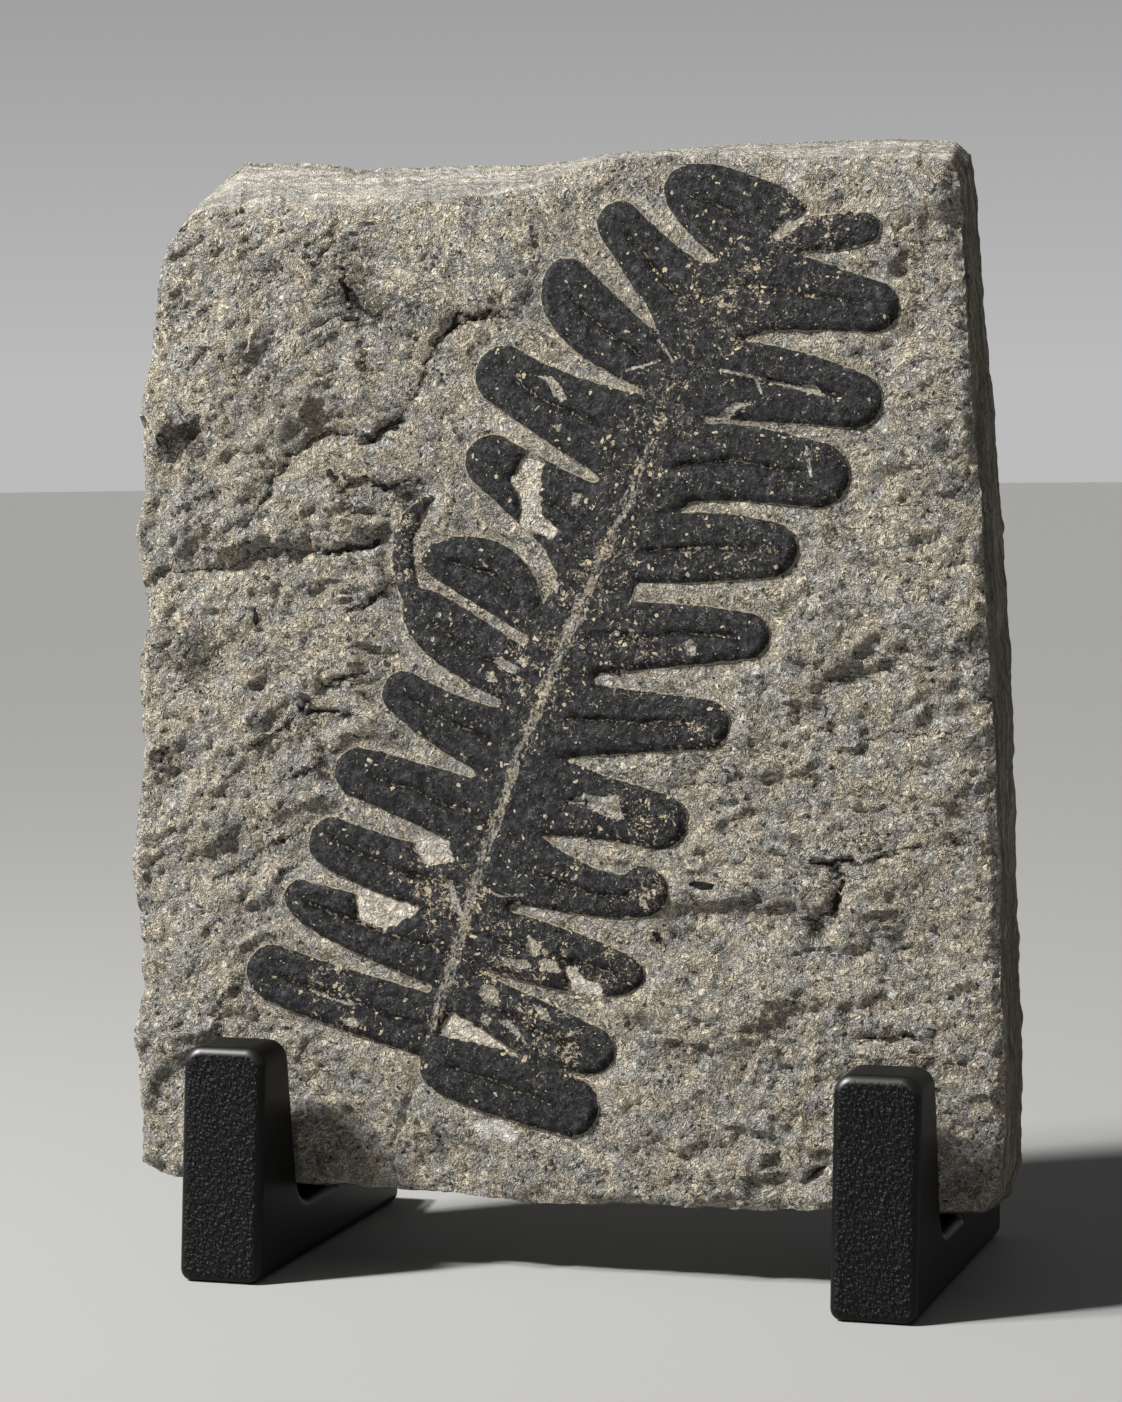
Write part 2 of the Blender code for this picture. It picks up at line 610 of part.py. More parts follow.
def build_holder(name, left, material):
    section = holder_section()
    shape = bmesh.new()
    sides = []
    for x in (left, left + HOLDER_WIDTH):
        sides.append([shape.verts.new((x * MM, y * MM, z * MM)) for y, z in section])
    shape.faces.new(sides[0])
    shape.faces.new(sides[1][::-1])
    count = len(section)
    for i in range(count):
        j = (i + 1) % count
        shape.faces.new((sides[0][j], sides[0][i], sides[1][i], sides[1][j]))
    bmesh.ops.recalc_face_normals(shape, faces=shape.faces)

    corners = [e for e in shape.edges
               if all(abs(v.co.z - LUG_HEIGHT * MM) < 1e-6 for v in e.verts)
               and abs(e.verts[0].co.x - e.verts[1].co.x) < 1e-6]
    bmesh.ops.bevel(shape, geom=corners, offset=LUG_CORNER * MM, offset_type="OFFSET",
                    segments=4, profile=0.5, affect="EDGES", clamp_overlap=True)
    sharp = [e for e in shape.edges if len(e.link_faces) == 2 and e.calc_face_angle() > math.radians(50)
             and e.calc_length() > 2.5 * MM]
    bmesh.ops.bevel(shape, geom=sharp, offset=HOLDER_BEVEL * MM, offset_type="OFFSET",
                    segments=2, profile=0.5, affect="EDGES", clamp_overlap=True)
    bmesh.ops.triangulate(shape, faces=shape.faces)
    mesh = bpy.data.meshes.new(name)
    shape.to_mesh(mesh)
    shape.free()
    mesh.materials.append(material)
    obj = bpy.data.objects.new(name, mesh)
    bpy.context.scene.collection.objects.link(obj)
    return obj


# ------------------------------------------------------------------- build

def centre_on_floor(objects):
    """Moves everything so that the footprint's middle is the origin."""
    corners = np.array([tuple(v.co) for obj in objects for v in obj.data.vertices])
    low, high = corners.min(axis=0), corners.max(axis=0)
    shift = Vector((-(low[0] + high[0]) / 2, -(low[1] + high[1]) / 2, -low[2]))
    for obj in objects:
        for vertex in obj.data.vertices:
            vertex.co += shift


def main():
    for obj in list(bpy.data.objects):
        bpy.data.objects.remove(obj, do_unlink=True)
    stone = principled("sandstone", (0.36, 0.33, 0.28), 0.9)
    film = principled("carbon_film", (0.035, 0.035, 0.038), 0.6)
    black = principled("black_grained_metal", (0.012, 0.012, 0.013), 0.5)
    objects = [
        build_slab(stone),
        build_frond(film),
        build_holder("left_holder", 0.0, black),
        build_holder("right_holder", HOLDER_SPACING, black),
    ]
    centre_on_floor(objects)


main()
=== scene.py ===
# A slab of fine grey-beige stone with the carbonised frond of a seed fern on its
# face, leaning back on two black holders.  Lengths are in millimetres on the
# slab: u to the right along its foot, v up its face, out away from the face.

import math

import bmesh
import bpy
import numpy as np
from mathutils import Matrix, Vector
from mathutils.geometry import delaunay_2d_cdt


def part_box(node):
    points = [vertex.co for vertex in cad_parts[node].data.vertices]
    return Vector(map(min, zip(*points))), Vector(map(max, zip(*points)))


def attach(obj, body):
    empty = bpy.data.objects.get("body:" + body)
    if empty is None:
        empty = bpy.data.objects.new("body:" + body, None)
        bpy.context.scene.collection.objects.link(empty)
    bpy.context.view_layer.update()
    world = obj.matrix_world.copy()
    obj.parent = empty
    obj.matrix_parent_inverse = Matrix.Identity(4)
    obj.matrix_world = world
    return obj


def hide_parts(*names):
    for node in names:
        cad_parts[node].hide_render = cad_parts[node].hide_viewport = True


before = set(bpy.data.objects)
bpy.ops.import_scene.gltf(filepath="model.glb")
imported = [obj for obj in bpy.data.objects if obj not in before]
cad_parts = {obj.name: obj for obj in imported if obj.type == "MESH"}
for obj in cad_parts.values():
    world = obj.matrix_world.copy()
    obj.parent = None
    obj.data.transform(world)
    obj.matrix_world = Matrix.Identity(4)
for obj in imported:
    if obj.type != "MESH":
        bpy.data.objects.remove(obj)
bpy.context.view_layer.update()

MM = 0.001
LEAN = math.radians(8.0)
THICKNESS = 21.0
FOOT_Y, FOOT_Z, LEFT_OVERHANG = 25.0, 16.0, 26.0    # where the slab's foot lies on the holders

HOLDER_WIDTH, HOLDER_DEPTH, HOLDER_BASE, HOLDER_SPACING = 18.0, 88.0, 12.8, 139.0
LUG_HEIGHT, LUG_LEAN, LUG_TOP_DEPTH = 48.9, 4.7, 14.6
LUG_ROOT_Y, LUG_ROOT_Z, LUG_FILLET = 23.8, 20.0, 6.5
LUG_CORNER, FOOT_CORNER, HOLDER_BEVEL = 4.0, 2.6, 2.0
REST_HEIGHT, REST_THICKNESS, REST_BRACE, REST_GAP, SHELF_GAP = 74.0, 9.0, 7.0, 0.4, 0.25
FOOT_END = HOLDER_BASE * 0.72                       # height of the foot's back end

holder_low, holder_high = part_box("left_holder")
STAND_CORNER = np.array([holder_low.x, (holder_low.y + holder_high.y - HOLDER_DEPTH * MM) / 2, 0.0])

# --- The slab's form

FACE_SIDES = {
    "bottom": [(7.4, 4), (12, 1.3), (16, 0.7), (43, 1), (71, 0.9), (100, -0.8),
               (117, 0.5), (143, 0.2), (159, 1.3), (184, 2), (191, 2.5)],
    "right": [(194, 6), (195, 13), (194.5, 33), (192.8, 65), (191, 98), (188.4, 126),
              (186.2, 152), (183.3, 178), (182, 196), (180.3, 214)],
    "top": [(178.5, 217.4), (132, 219.8), (104, 219.3), (96, 217), (88, 213.4),
            (56, 211), (23, 211), (12, 210.8)],
    "left": [(8.5, 209.5), (5.5, 205), (3.2, 198), (3.8, 192), (2.3, 183), (0.7, 170),
             (2.5, 149), (0.2, 140), (3.7, 120), (1.4, 111), (4.4, 93), (2.5, 67),
             (6.1, 40), (4.6, 31), (6.6, 17)],
}
BACK_SIDES = {
    "bottom": [(8, 5), (14, 2), (45, 1.5), (72, 2), (101, 0.8), (143, 1.6), (186, 2), (190, 3)],
    "right": [(193, 5.5), (194.8, 12), (194.6, 33), (192.2, 77), (190.4, 114), (187, 151),
              (184.7, 173), (182.4, 190), (180, 215), (178.9, 222)],
    "top": [(175.4, 225.2), (159, 226), (126, 225.4), (102, 224.2), (84, 222.4), (41, 222.4),
            (34, 223.9), (15, 224.4), (11, 221.3)],
    "left": [(5.5, 216), (4.5, 205), (5, 190), (2.5, 170), (4, 149), (2, 140), (5, 120),
             (3, 111), (6, 93), (4, 67), (7.5, 40), (6.5, 31), (8, 17)],
}
# Stone on the left of a ledge's line stands proud: (height, reach, line).
LEDGES = [
    (2.4, 24, [(26, 140), (30, 147), (36, 157), (45, 162), (56, 160), (64, 167)]),
    (1.9, 14, [(62, 166), (66, 174), (65, 177), (71, 184), (76, 186), (88, 186)]),
    (1.2, 10, [(47, 148), (54, 151), (61, 150), (72, 151)]),
    (2.6, 20, [(4, 132), (16, 132), (25, 133), (32, 137), (39, 136), (48, 136),
               (55, 137), (61, 144)]),
    (1.0, 9, [(50, 121), (54, 125), (62, 127)]),
    (1.0, 9, [(42, 104), (49, 109), (59, 109)]),
    (1.4, 12, [(28, 92), (37, 99), (41, 104), (45, 101), (57, 101)]),
    (1.2, 11, [(34, 84), (41, 88), (48, 92)]),
    (1.2, 12, [(20, 64), (30, 70), (41, 76), (46, 80)]),
    (1.0, 12, [(191, 78), (181, 76), (174, 75), (165, 74), (155, 75), (148, 72)]),
    (0.9, 9, [(168, 69), (159, 70), (154, 72), (145, 73)]),
    (0.9, 8, [(150, 61), (155, 60), (159, 63), (160, 68)]),
    (0.8, 10, [(186, 142), (179, 144), (170, 146), (160, 144)]),
    (0.9, 12, [(190, 98), (171, 99), (161, 97), (150, 100)]),
    (0.7, 10, [(181, 36), (175, 37), (163, 35)]),
]
# Clefts that open below a bulge: (depth, half width, line)
CLEFTS = [
    (0.9, 0.8, [(48, 157.6), (54, 159.3), (57.3, 161.5), (61.3, 163.6), (64.8, 166)]),
    (1.2, 1.1, [(43.9, 198.4), (45.9, 193.3), (49.5, 189.4), (54.1, 186.3), (59.8, 185.6)]),
    (0.7, 0.7, [(65.3, 178.2), (70.1, 182.2), (74.3, 186.5), (82.3, 186.8), (90.4, 186.2)]),
    (1.1, 0.9, [(39, 135.6), (48, 135.9), (52.5, 136.8), (57, 137.8), (60.3, 140.4), (60.9, 143.6)]),
    (0.8, 0.7, [(50.5, 149), (55, 150.1), (59.5, 149.7), (64.9, 151.1), (70.1, 150.5)]),
    (0.8, 0.7, [(51.4, 122.6), (55.9, 125.4), (59.7, 126.9), (63.5, 127)]),
    (0.6, 0.7, [(36.3, 99.4), (40.8, 102.1), (44.7, 101), (50.9, 101.1), (56.1, 99.7)]),
    (0.6, 0.7, [(44.5, 106), (49, 108.6), (56.5, 109.3)]),
    (1.3, 0.8, [(153.7, 72.5), (158.8, 70.6), (160.2, 67.7), (159, 65.2), (159.1, 62),
                (157.4, 60.3), (154.1, 59.7)]),
    (0.8, 0.7, [(162.3, 35.9), (165.7, 36.8), (170.7, 36.6), (175.7, 36.4), (179.8, 35.8)]),
    (0.9, 0.7, [(144.8, 73.3), (155, 72.2), (165.9, 72.4), (174, 74.5), (180.4, 77.3)]),
    (0.9, 0.8, [(153.1, 5.7), (156.4, 7.9), (158.9, 10.4)]),
]
# Lumps and hollows: (u, v, radius, height)
LUMPS = [
    (27, 190, 20, 1.6), (14, 168, 14, 1.0), (32, 168, 12, 0.8), (52, 193, 8, -2.6),
    (30, 196, 5, -1.2), (29, 178, 6, -1.4), (13, 160, 7, -1.0), (18, 148, 5, -1.0),
    (45, 148, 9, 1.0), (20, 120, 10, 0.9), (17, 111, 7, -1.8), (25, 100, 9, 0.8),
    (13, 88, 7, -1.3), (22, 80, 12, 1.0), (28, 72, 6, -0.8), (20, 50, 12, 0.7),
    (12, 30, 8, 0.8), (176, 160, 10, 0.8), (172, 184, 8, -0.9), (175, 205, 9, 0.6),
    (176, 124, 12, 0.7), (168, 112, 8, -0.6), (155, 58, 4, -1.2), (172, 68, 6, 0.8),
    (150, 40, 14, 0.7), (178, 52, 10, -0.6), (130, 62, 8, -0.5), (125, 32, 10, 0.6),
    (98, 8, 10, 0.7), (60, 12, 12, 0.6), (150, 14, 12, 0.8), (60, 198, 14, 0.7),
]
PIT, PIT_DEPTH = (155, 58, 1.6), 1.4
ROUND_THE_SLAB = [("bottom", "right"), ("right", "top"), ("top", "left"), ("left", "bottom")]
ACROSS, UP, DEEP = 250, 282, 18         # cells over the face and through the thickness
BACK_CELL, BACK_LIFT = 2.4, 0.9         # cells of the back; its edge stands this far in
RING_SCALE = 0.76 / 6.283               # spreads the chips along the arris
LUMP_SPREAD = 2 ** 0.5 / 1.7            # how far a lump reaches for its radius
SEAM_REACH, LEDGE_BULGE = 4.0, 9        # how far a ledge's crack and its swelling reach
CLIMB = math.radians(30)                # slope of the break at the far left

# --- The frond's form

RACHIS = [(66, 12), (71, 28), (74, 39), (77, 49), (80, 61), (84, 75), (88, 86), (92, 98), (97, 111),
          (106, 132), (116, 156), (127, 179), (137, 195), (147, 208)]
WING_LEFT, WING_RIGHT, HALF_STALK = 8.0, 9.0, 0.8
# Each pinnule: root, bend, tip, and its half widths there.
PINNULES = {
    "left_01": ((85, 32), (40, 43), (36, 45.5), (7, 6.5, 6)),
    "left_02": ((94, 46), (43, 58.5), (41.5, 62), (8.5, 6.5, 3.5)),
    "left_03": ((85.5, 63), (57, 69), (48.5, 73.5), (7, 6.5, 5.5)),
    "left_04": ((82.5, 74.5), (94, 77), (54, 88.5), (7.5, 8.5, 5.5)),
    "left_05": ((90, 94), (76.5, 97), (63.5, 105.5), (8, 6.5, 5)),
    "left_06": ((99.5, 104), (72, 117.5), (67.5, 123), (5, 8.5, 5)),
    "left_07": ((91, 120.5), (86, 133), (70.5, 134), (2.5, 11, 4)),
    "left_08": ((104.5, 139.5), (108, 137.5), (81.5, 155), (11, 9.5, 6)),
    "left_09": ((112, 159.5), (94.5, 166.5), (83.5, 173.5), (10, 7, 6.5)),
    "left_10": ((123.5, 171), (97.5, 186), (97, 193), (4, 10, 5.5)),
    "left_11": ((127, 186), (122.5, 188.5), (108, 205.5), (11, 7, 5)),
    "left_12": ((139, 203), (126, 211), (122.5, 212.5), (10.5, 8.5, 5)),
    "right_01": ((75.5, 27.5), (78.5, 26.5), (103.5, 19.5), (6, 8, 6.3)),
    "right_02": ((78, 43.5), (100, 32.5), (108, 31.5), (5, 7.5, 5)),
    "right_03": ((68, 59), (110, 47), (116, 47.5), (6, 8.5, 3)),
    "right_04": ((86.5, 71), (111.5, 61), (118, 65), (9, 3, 5.5)),
    "right_05": ((95.5, 84.5), (108, 82.5), (121, 79.5), (8.5, 6.5, 6)),
    "right_06": ((94, 100.5), (110, 100.5), (130, 100), (9, 7, 5.5)),
    "right_07": ((97.5, 117.5), (125, 119), (138.5, 118.5), (8.5, 7, 5)),
    "right_08": ((112.5, 134.5), (120, 138), (143, 136.5), (5, 9.5, 6)),
    "right_09": ((120.5, 151), (122.5, 158), (152.5, 152), (7, 9.5, 7)),
    "right_10": ((133, 172), (143.5, 171.5), (160, 167.5), (8.5, 8.5, 6)),
    "right_11": ((136.5, 191), (128.5, 193.5), (163.5, 187), (10, 10.5, 5.5)),
    "right_12": ((143, 202), (152, 202.5), (161, 203.5), (3.5, 4.5, 3.5)),
}
SCRAP = ((68, 147), (58.5, 141), (65, 125), (1.2, 3.4, 2.2))
# Patches flaked off the blade, down to clean stone.
FLAKED = [
    [(86, 151), (89, 156.5), (93, 154.5), (92, 148), (93, 143.5), (97, 140.5),
     (95.5, 139), (88, 141.5), (88.5, 147)],
    [(54.5, 61.5), (56, 63.5), (68, 60.3), (68.5, 59), (61, 55.5), (55, 57.5)],
    [(67.3, 73), (68, 75), (74.5, 74), (76, 70.3), (71, 69), (68.5, 70.5)],
    [(101.5, 48.5), (104, 48.5), (105, 46.5), (109.5, 45.5), (109, 42.6), (103.5, 43)],
    [(76, 36.7), (79.7, 36.9), (84.5, 34.2), (90, 30.9), (91.7, 29.5), (86.5, 31.4),
                 (82, 32.4), (77.5, 33), (75, 33.3)],
]
# Where the film is worn through to specks of stone: (u, v, reach, strength)
WORN = [
    (78, 60, 8, 0.5), (93, 104, 8, 0.3), (102, 126, 8, 0.8), (92, 112, 7, 0.9), (109, 136, 6, 0.6),
    (114, 152, 9, 0.5), (120, 79, 7, 0.9), (110, 80, 9, 0.5), (119, 65, 5, 0.9), (86, 45, 8, 0.4),
    (52, 41, 7, 0.5), (48, 44, 3, 1.2), (84, 50, 9, 0.5), (98, 36, 8, 0.8), (104, 32, 5, 0.9),
    (112, 49, 7, 0.9), (96, 52, 8, 0.6), (127, 98, 6, 0.5), (118, 114, 9, 0.4), (113, 112, 6, 0.6),
    (140, 134, 8, 0.5), (128, 133, 9, 0.4), (130, 195, 9, 0.4), (128, 186, 8, 0.7), (118, 165, 8, 0.6),
    (152, 203, 7, 0.9), (146, 205, 5, 1.0), (78, 110, 5, 0.4), (75, 62, 7, 0.8), (70, 68, 5, 0.5),
    (62, 140, 5, 1.1), (63, 130, 4, 0.9), (135, 190, 9, 0.5), (140, 184, 8, 0.4), (150, 156, 7, 0.4),
    (100, 66, 9, 0.4), (126, 96, 5, 0.5),
]
# Patches within the film where the stone lies bare.
BARE = [
    [(49.4, 49), (50.4, 46.3), (51.3, 45.3), (52.2, 47.2), (54.5, 46.8)],
    [(52.4, 36), (53.3, 34.5), (56.7, 34.4), (55.5, 36.5)],
    [(44, 42.6), (47, 41.6), (50.4, 40.2), (57.4, 39.2), (53.4, 38.9), (46.8, 40.8)],
    [(83.4, 44.3), (82.8, 42.2), (85.1, 40), (87.3, 40), (87.2, 43.4), (85.4, 44.4)],
    [(83.9, 38.4), (83, 36.8), (85.3, 35.6), (86, 37.4)],
    [(87.2, 37), (90.1, 35), (94.4, 31.6), (92.4, 34.6), (89.4, 37.4)],
    [(95, 40.6), (96.9, 37.5), (99.2, 37), (97.9, 40)],
    [(95.6, 49.3), (98.1, 47.5), (101, 47.4), (99.6, 50), (97.1, 50.4)],
    [(86, 50.9), (88.8, 49), (91.5, 47.8), (95, 48.4), (93.2, 49.9), (89.5, 49.8)],
    [(93.4, 55.1), (92.8, 52), (95.4, 50.4), (96.4, 53.1)],
    [(117.2, 62), (120, 60.6), (118.6, 63.3), (117.4, 63.8)],
    [(105, 85), (105.6, 82), (108.6, 80.7), (111.9, 79.5), (113.6, 79.7), (112.5, 82.2),
     (112.2, 85.1), (108.7, 84.4)],
    [(101, 82.9), (104.6, 82.8), (105.2, 84.8), (102.8, 84.3)],
    [(125, 117), (126, 114.2), (128, 114), (127.9, 116.6), (126.7, 117.6)],
    [(81.7, 110.4), (82.8, 108.2), (84.9, 108), (83.8, 110.3)],
    [(83.2, 113.4), (84.8, 111), (88.3, 109.8), (89.5, 111.3), (86, 113)],
    [(88.8, 112.7), (90.7, 111.1), (91.8, 112.3), (90.2, 113.4)],
    [(91.6, 173), (94, 171.6), (95, 169.2), (97, 167.5), (98.5, 168.1), (97, 170.4), (94.8, 173)],
    [(100, 148.3), (99.8, 145.4), (101.3, 145.8), (102.2, 148)],
    [(95, 162.6), (96.7, 160.7), (97.4, 162.8)],
    [(148.8, 170.8), (150.3, 168.1), (151.7, 169.1), (153.2, 168.8), (152.1, 170.6)],
    [(129.8, 163.4), (133.2, 163.6), (135.4, 165.7), (139.2, 167), (134.9, 167.1), (132.4, 165.6)],
    [(141.5, 202), (144.7, 205.2), (147.9, 206.9), (148.8, 204.9), (145.9, 202.6), (143, 200.5)],
    [(74, 66.5), (76.4, 60.7), (78.3, 57.5), (80.3, 56.8), (78.2, 60.6), (76, 66)],
    [(70.4, 122.9), (70.6, 121.7), (71.8, 121.8), (71.6, 123)],
    [(69.4, 117.6), (69.5, 116.4), (70.6, 116.5), (70.5, 117.6)],
    [(98.2, 118), (101.2, 119), (102, 122.4), (100, 122)],
    [(95, 128.5), (97.2, 127), (97.6, 129), (96, 130)],
]
# Thin tears that show as pale threads.
TEARS = [
    [(109.4, 171.8), (110, 173.9), (113.6, 174.7), (118.2, 176.1)],
    [(150.4, 157.7), (150.9, 154.1), (151.6, 151.4)],
    [(131.5, 173.9), (139.7, 172.2), (148.3, 170), (153.9, 168.5)],
    [(113.5, 189.5), (116, 185), (118, 180), (121, 176)],
    [(139, 172), (140.4, 169)],
    [(84, 64), (87, 63), (92, 63.5)],
]
# Dark stains and dark grains on the stone, and painted shade in its hollows: (u, v, reach, strength)
STAIN_AND_SHADE_SPOTS = [
    (30.7, 198, 2.2, 0.9), (24.1, 200, 1.6, 0.8), (32, 177, 5, 0.7), (31, 171, 4, 0.6), (10, 162, 6, 0.7),
    (13, 158, 5, 0.6), (14.8, 110, 6, 0.9), (18, 116, 4, 0.6), (9.8, 89, 5, 0.6), (29.2, 121, 1.7, 0.9),
    (120.7, 55, 2.2, 0.8), (151, 128.8, 2, 0.9), (155.6, 140.2, 2.4, 0.9), (57, 188, 6, 0.7),
    (50, 190, 5, 0.8), (66, 187, 5, 0.6), (47, 197, 3, 0.6), (79, 161, 3, 0.5), (64, 147, 4, 0.7),
    (153, 72, 3, 0.5), (170, 74, 6, 0.4), (186, 77, 4, 0.4), (155, 58, 3, 0.8), (162, 63, 3, 0.4),
    (60, 128, 4, 0.5), (40, 100, 6, 0.5), (172, 43, 4, 0.4), (178, 30, 6, 0.4), (120, 12, 7, 0.3),
]
# Dark slivers of leaf on the stone: (u, v, half length, half width, turn in degrees)
SLIVERS = [(130.5, 66.6, 4.0, 1.1, -6), (29.2, 121.5, 0.9, 2.8, 10), (121, 55.5, 2.4, 0.9, -50)]
WHITE_CHIP = [(82, 16), (83.9, 12), (87.8, 12.2), (91.6, 10.7), (92.6, 13.7), (88.2, 16.2)]

WEB = 0.5                               # how softly pinnules and wing run into each other
PINNULE_STEPS, PINNULE_BOX = 40, 16     # points along a pinnule; how far round it to look
UNCREASED = ("scrap", "right_12")
TORN_ENDS = ((154, 203), (61, 138))
FILM_CELL = 0.45
FILM_RISE = 1.35                        # height of a pinnule's crown over the stone
FILM_ROUND = 2.6                        # width over which its rim rounds down
CREASE_DEPTH = 0.60                     # depth of the crease along each midrib
FILM_SUNK = 0.5                         # the film's underside lies this deep in the stone
RIM_LEVELS = (0.0, -0.2, -0.5, -0.9)    # outlines that carry the rounded rim
SMALLEST_LOOP = 3.0                     # square millimetres
RACHIS_LENGTH = 210

# --- Colours, light and camera

HALVES = (0.5, 0.5, 0.5)
WARM_STONE = ((0.302, 0.270, 0.214), (0.416, 0.372, 0.293))
BLUE_STONE = ((0.237, 0.235, 0.226), (0.341, 0.333, 0.309))
TO_LIGHT = Vector((-0.62, -0.40, 0.68)).normalized()
LAMP_AIM, LAMP_DISTANCE = Vector((-0.05, 0, 0.2)), 0.75
ROOM_GREYS = [(0.0, 0.50), (0.10, 0.34), (0.35, 0.09)]      # from the horizon up
SENSOR = 36.0
FOCAL_LENGTH, PICTURE_HEIGHT = 3990, 1402       # both in pixels
CAMERA_ANGLES = (17.19, 4.65, -0.54)            # turn to the left, tilt down and roll, in degrees
CAMERA_PLACE = (319.68, -759.1, 187.4)          # from the left holder's front foot


# --- Plane forms

def smoothstep(x, low, high):
    t = np.clip((x - low) / (high - low), 0, 1)
    return t * t * (3 - 2 * t)


def bend(a, b, c, t):
    """A smooth run from a to c that leans on b."""
    return (1 - t) ** 2 * a + 2 * t * (1 - t) * b + t * t * c


def mound(points, u, v, reach):
    """A round bell of height 1 about a place."""
    return np.exp(-((points - (u, v)) ** 2).sum(axis=1) / reach ** 2)


def grid_of(us, vs):
    return np.stack(np.meshgrid(us, vs, indexing="ij"), -1).reshape(-1, 2)


def closed(ring):
    return np.vstack([ring, ring[:1]])


def ring_edges(first, count):
    return [(first + i, first + (i + 1) % count) for i in range(count)]


def inside(points, rim, edges=None):
    """Which points lie inside a ring, or inside the rings that edges make of its points."""
    x, y = points[:, 0], points[:, 1]
    found = np.zeros(len(points), bool)
    order = np.argsort(y)
    rising = y[order]
    for a, b in edges or ring_edges(0, len(rim)):
        low, high = sorted((rim[a], rim[b]), key=lambda corner: corner[1])
        if low[1] < high[1]:
            span = order[slice(*np.searchsorted(rising, (low[1], high[1])))]
            found[span] ^= x[span] < low[0] + (y[span] - low[1]) / (high[1] - low[1]) * (high[0] - low[0])
    return found


def distance_to_line(points, line):
    """Distance to a line of points, its side (left is +1) and the place along it, 0 to 1."""
    line = np.array(line, float)
    lengths = np.linalg.norm(np.diff(line, axis=0), axis=1)
    best = np.full(len(points), np.inf)
    side, place, run = np.zeros(len(points)), np.zeros(len(points)), 0.0
    for a, b, length in zip(line[:-1], line[1:], lengths):
        along, rel = (b - a) / length, points - a
        s = np.clip(rel @ along, 0, length)
        away = np.linalg.norm(rel - s[:, None] * along, axis=1)
        nearer = away < best
        best = np.where(nearer, away, best)
        side = np.where(nearer, np.sign(along[0] * rel[:, 1] - along[1] * rel[:, 0]), side)
        place = np.where(nearer, (run + s) / lengths.sum(), place)
        run += length
    return best, side, place


def distance_to_polygon(points, polygon):
    ring = np.array(polygon, float)
    away = distance_to_line(points, closed(ring))[0]
    return np.where(inside(points, ring), -away, away)


def distance_near(points, line, corner):
    """Distance to the two stretches of a line that meet at each point's own corner."""
    best = np.full(len(points), np.inf)
    for first in (corner - 1, corner):
        first = np.clip(first, 0, len(line) - 2)
        start, along = line[first], line[first + 1] - line[first]
        share = ((points - start) * along).sum(axis=1) / (along ** 2).sum(axis=1)
        away = np.linalg.norm(points - start - np.clip(share, 0, 1)[:, None] * along, axis=1)
        best = np.minimum(best, away)
    return best


def near(points, line, reach):
    """Which points lie in a line's box, widened by a reach."""
    low, high = np.min(line, axis=0) - reach, np.max(line, axis=0) + reach
    return np.all((points > low) & (points < high), axis=1)


def pinnule_depths(points, waver=0.0):
    """For each pinnule: its name, the points near it, how deep they lie in it,
    their distance from its wavering midrib and their place along it."""
    t = np.linspace(0.0, 1.0, PINNULE_STEPS)
    for name, (root, middle, tip, widths) in {**PINNULES, "scrap": SCRAP}.items():
        line = bend(*np.array((root, middle, tip), float), t[:, None])
        close = near(points, line, PINNULE_BOX)
        gaps = np.linalg.norm(points[close][:, None] - line, axis=2)
        depth = (bend(*widths, t) - gaps).max(axis=1)
        corner = gaps.argmin(axis=1)
        yield name, close, depth, distance_near((points + waver)[close], line, corner), t[corner]


def distance_to_frond(points, flaked=False):
    """Distance to the edge of the blade: negative on the blade."""
    away, side, place = distance_to_line(points, RACHIS)
    past_rachis = {"left": -side * away - HALF_STALK, "right": side * away - HALF_STALK,
                   "scrap": np.full(len(points), -np.inf)}
    wing = np.where(side > 0, WING_LEFT, WING_RIGHT)
    wing = wing * smoothstep(place, 0.05, 0.28) * (1 - 0.25 * smoothstep(place, 0.65, 0.85))
    wing = wing * (1 - 0.8 * smoothstep(place, 0.9, 0.98)) - 2 * (place < 0.08)
    total = np.exp(np.clip((wing - away) / WEB, -40, 40))
    for name, close, depth, _, _ in pinnule_depths(points):
        out = np.maximum(-depth, past_rachis[name.split("_")[0]][close])
        total[close] += np.exp(np.clip(-out / WEB, -40, 40))
    distance = -WEB * np.log(total + 1e-30)
    for patch in FLAKED if flaked else ():
        close = near(points, patch, 3)
        ragged = 0.45 * rough(points[close], 2.0, 73, 3, 0.7)
        distance[close] = np.maximum(distance[close], ragged - distance_to_polygon(points[close], patch))
    return distance


def chance(i, j, seed):
    """A random number from 0 to 1 for each cell of a grid."""
    n = (i * 374761393 + j * 668265263 + seed * 69069) & 0xFFFFFFFF
    n = ((n ^ (n >> 13)) * 1274126177) & 0xFFFFFFFF
    return ((n ^ (n >> 16)) & 0xFFFF) / 65536


def lumps(points, size, seed=0):
    """Smooth random relief of about -1 to 1, with lumps of a given size."""
    q = points / size + (seed * 17.31, seed * 7.77)
    cell = np.floor(q).astype(np.int64)
    f = q - cell
    w = f * f * f * (f * (f * 6 - 15) + 10)

    def corner(i, j):
        turn = chance(cell[:, 0] + i, cell[:, 1] + j, seed) * 2 * math.pi
        return np.cos(turn) * (f[:, 0] - i) + np.sin(turn) * (f[:, 1] - j)

    low, high = (corner(0, j) * (1 - w[:, 0]) + corner(1, j) * w[:, 0] for j in (0, 1))
    return 1.5 * (low * (1 - w[:, 1]) + high * w[:, 1])


def rough(points, size, seed=0, layers=4, fade=0.55):
    """Relief of several sizes, each about half the one before."""
    return sum(fade ** k * lumps(points, size / 2.03 ** k, seed + k * 3) for k in range(layers))


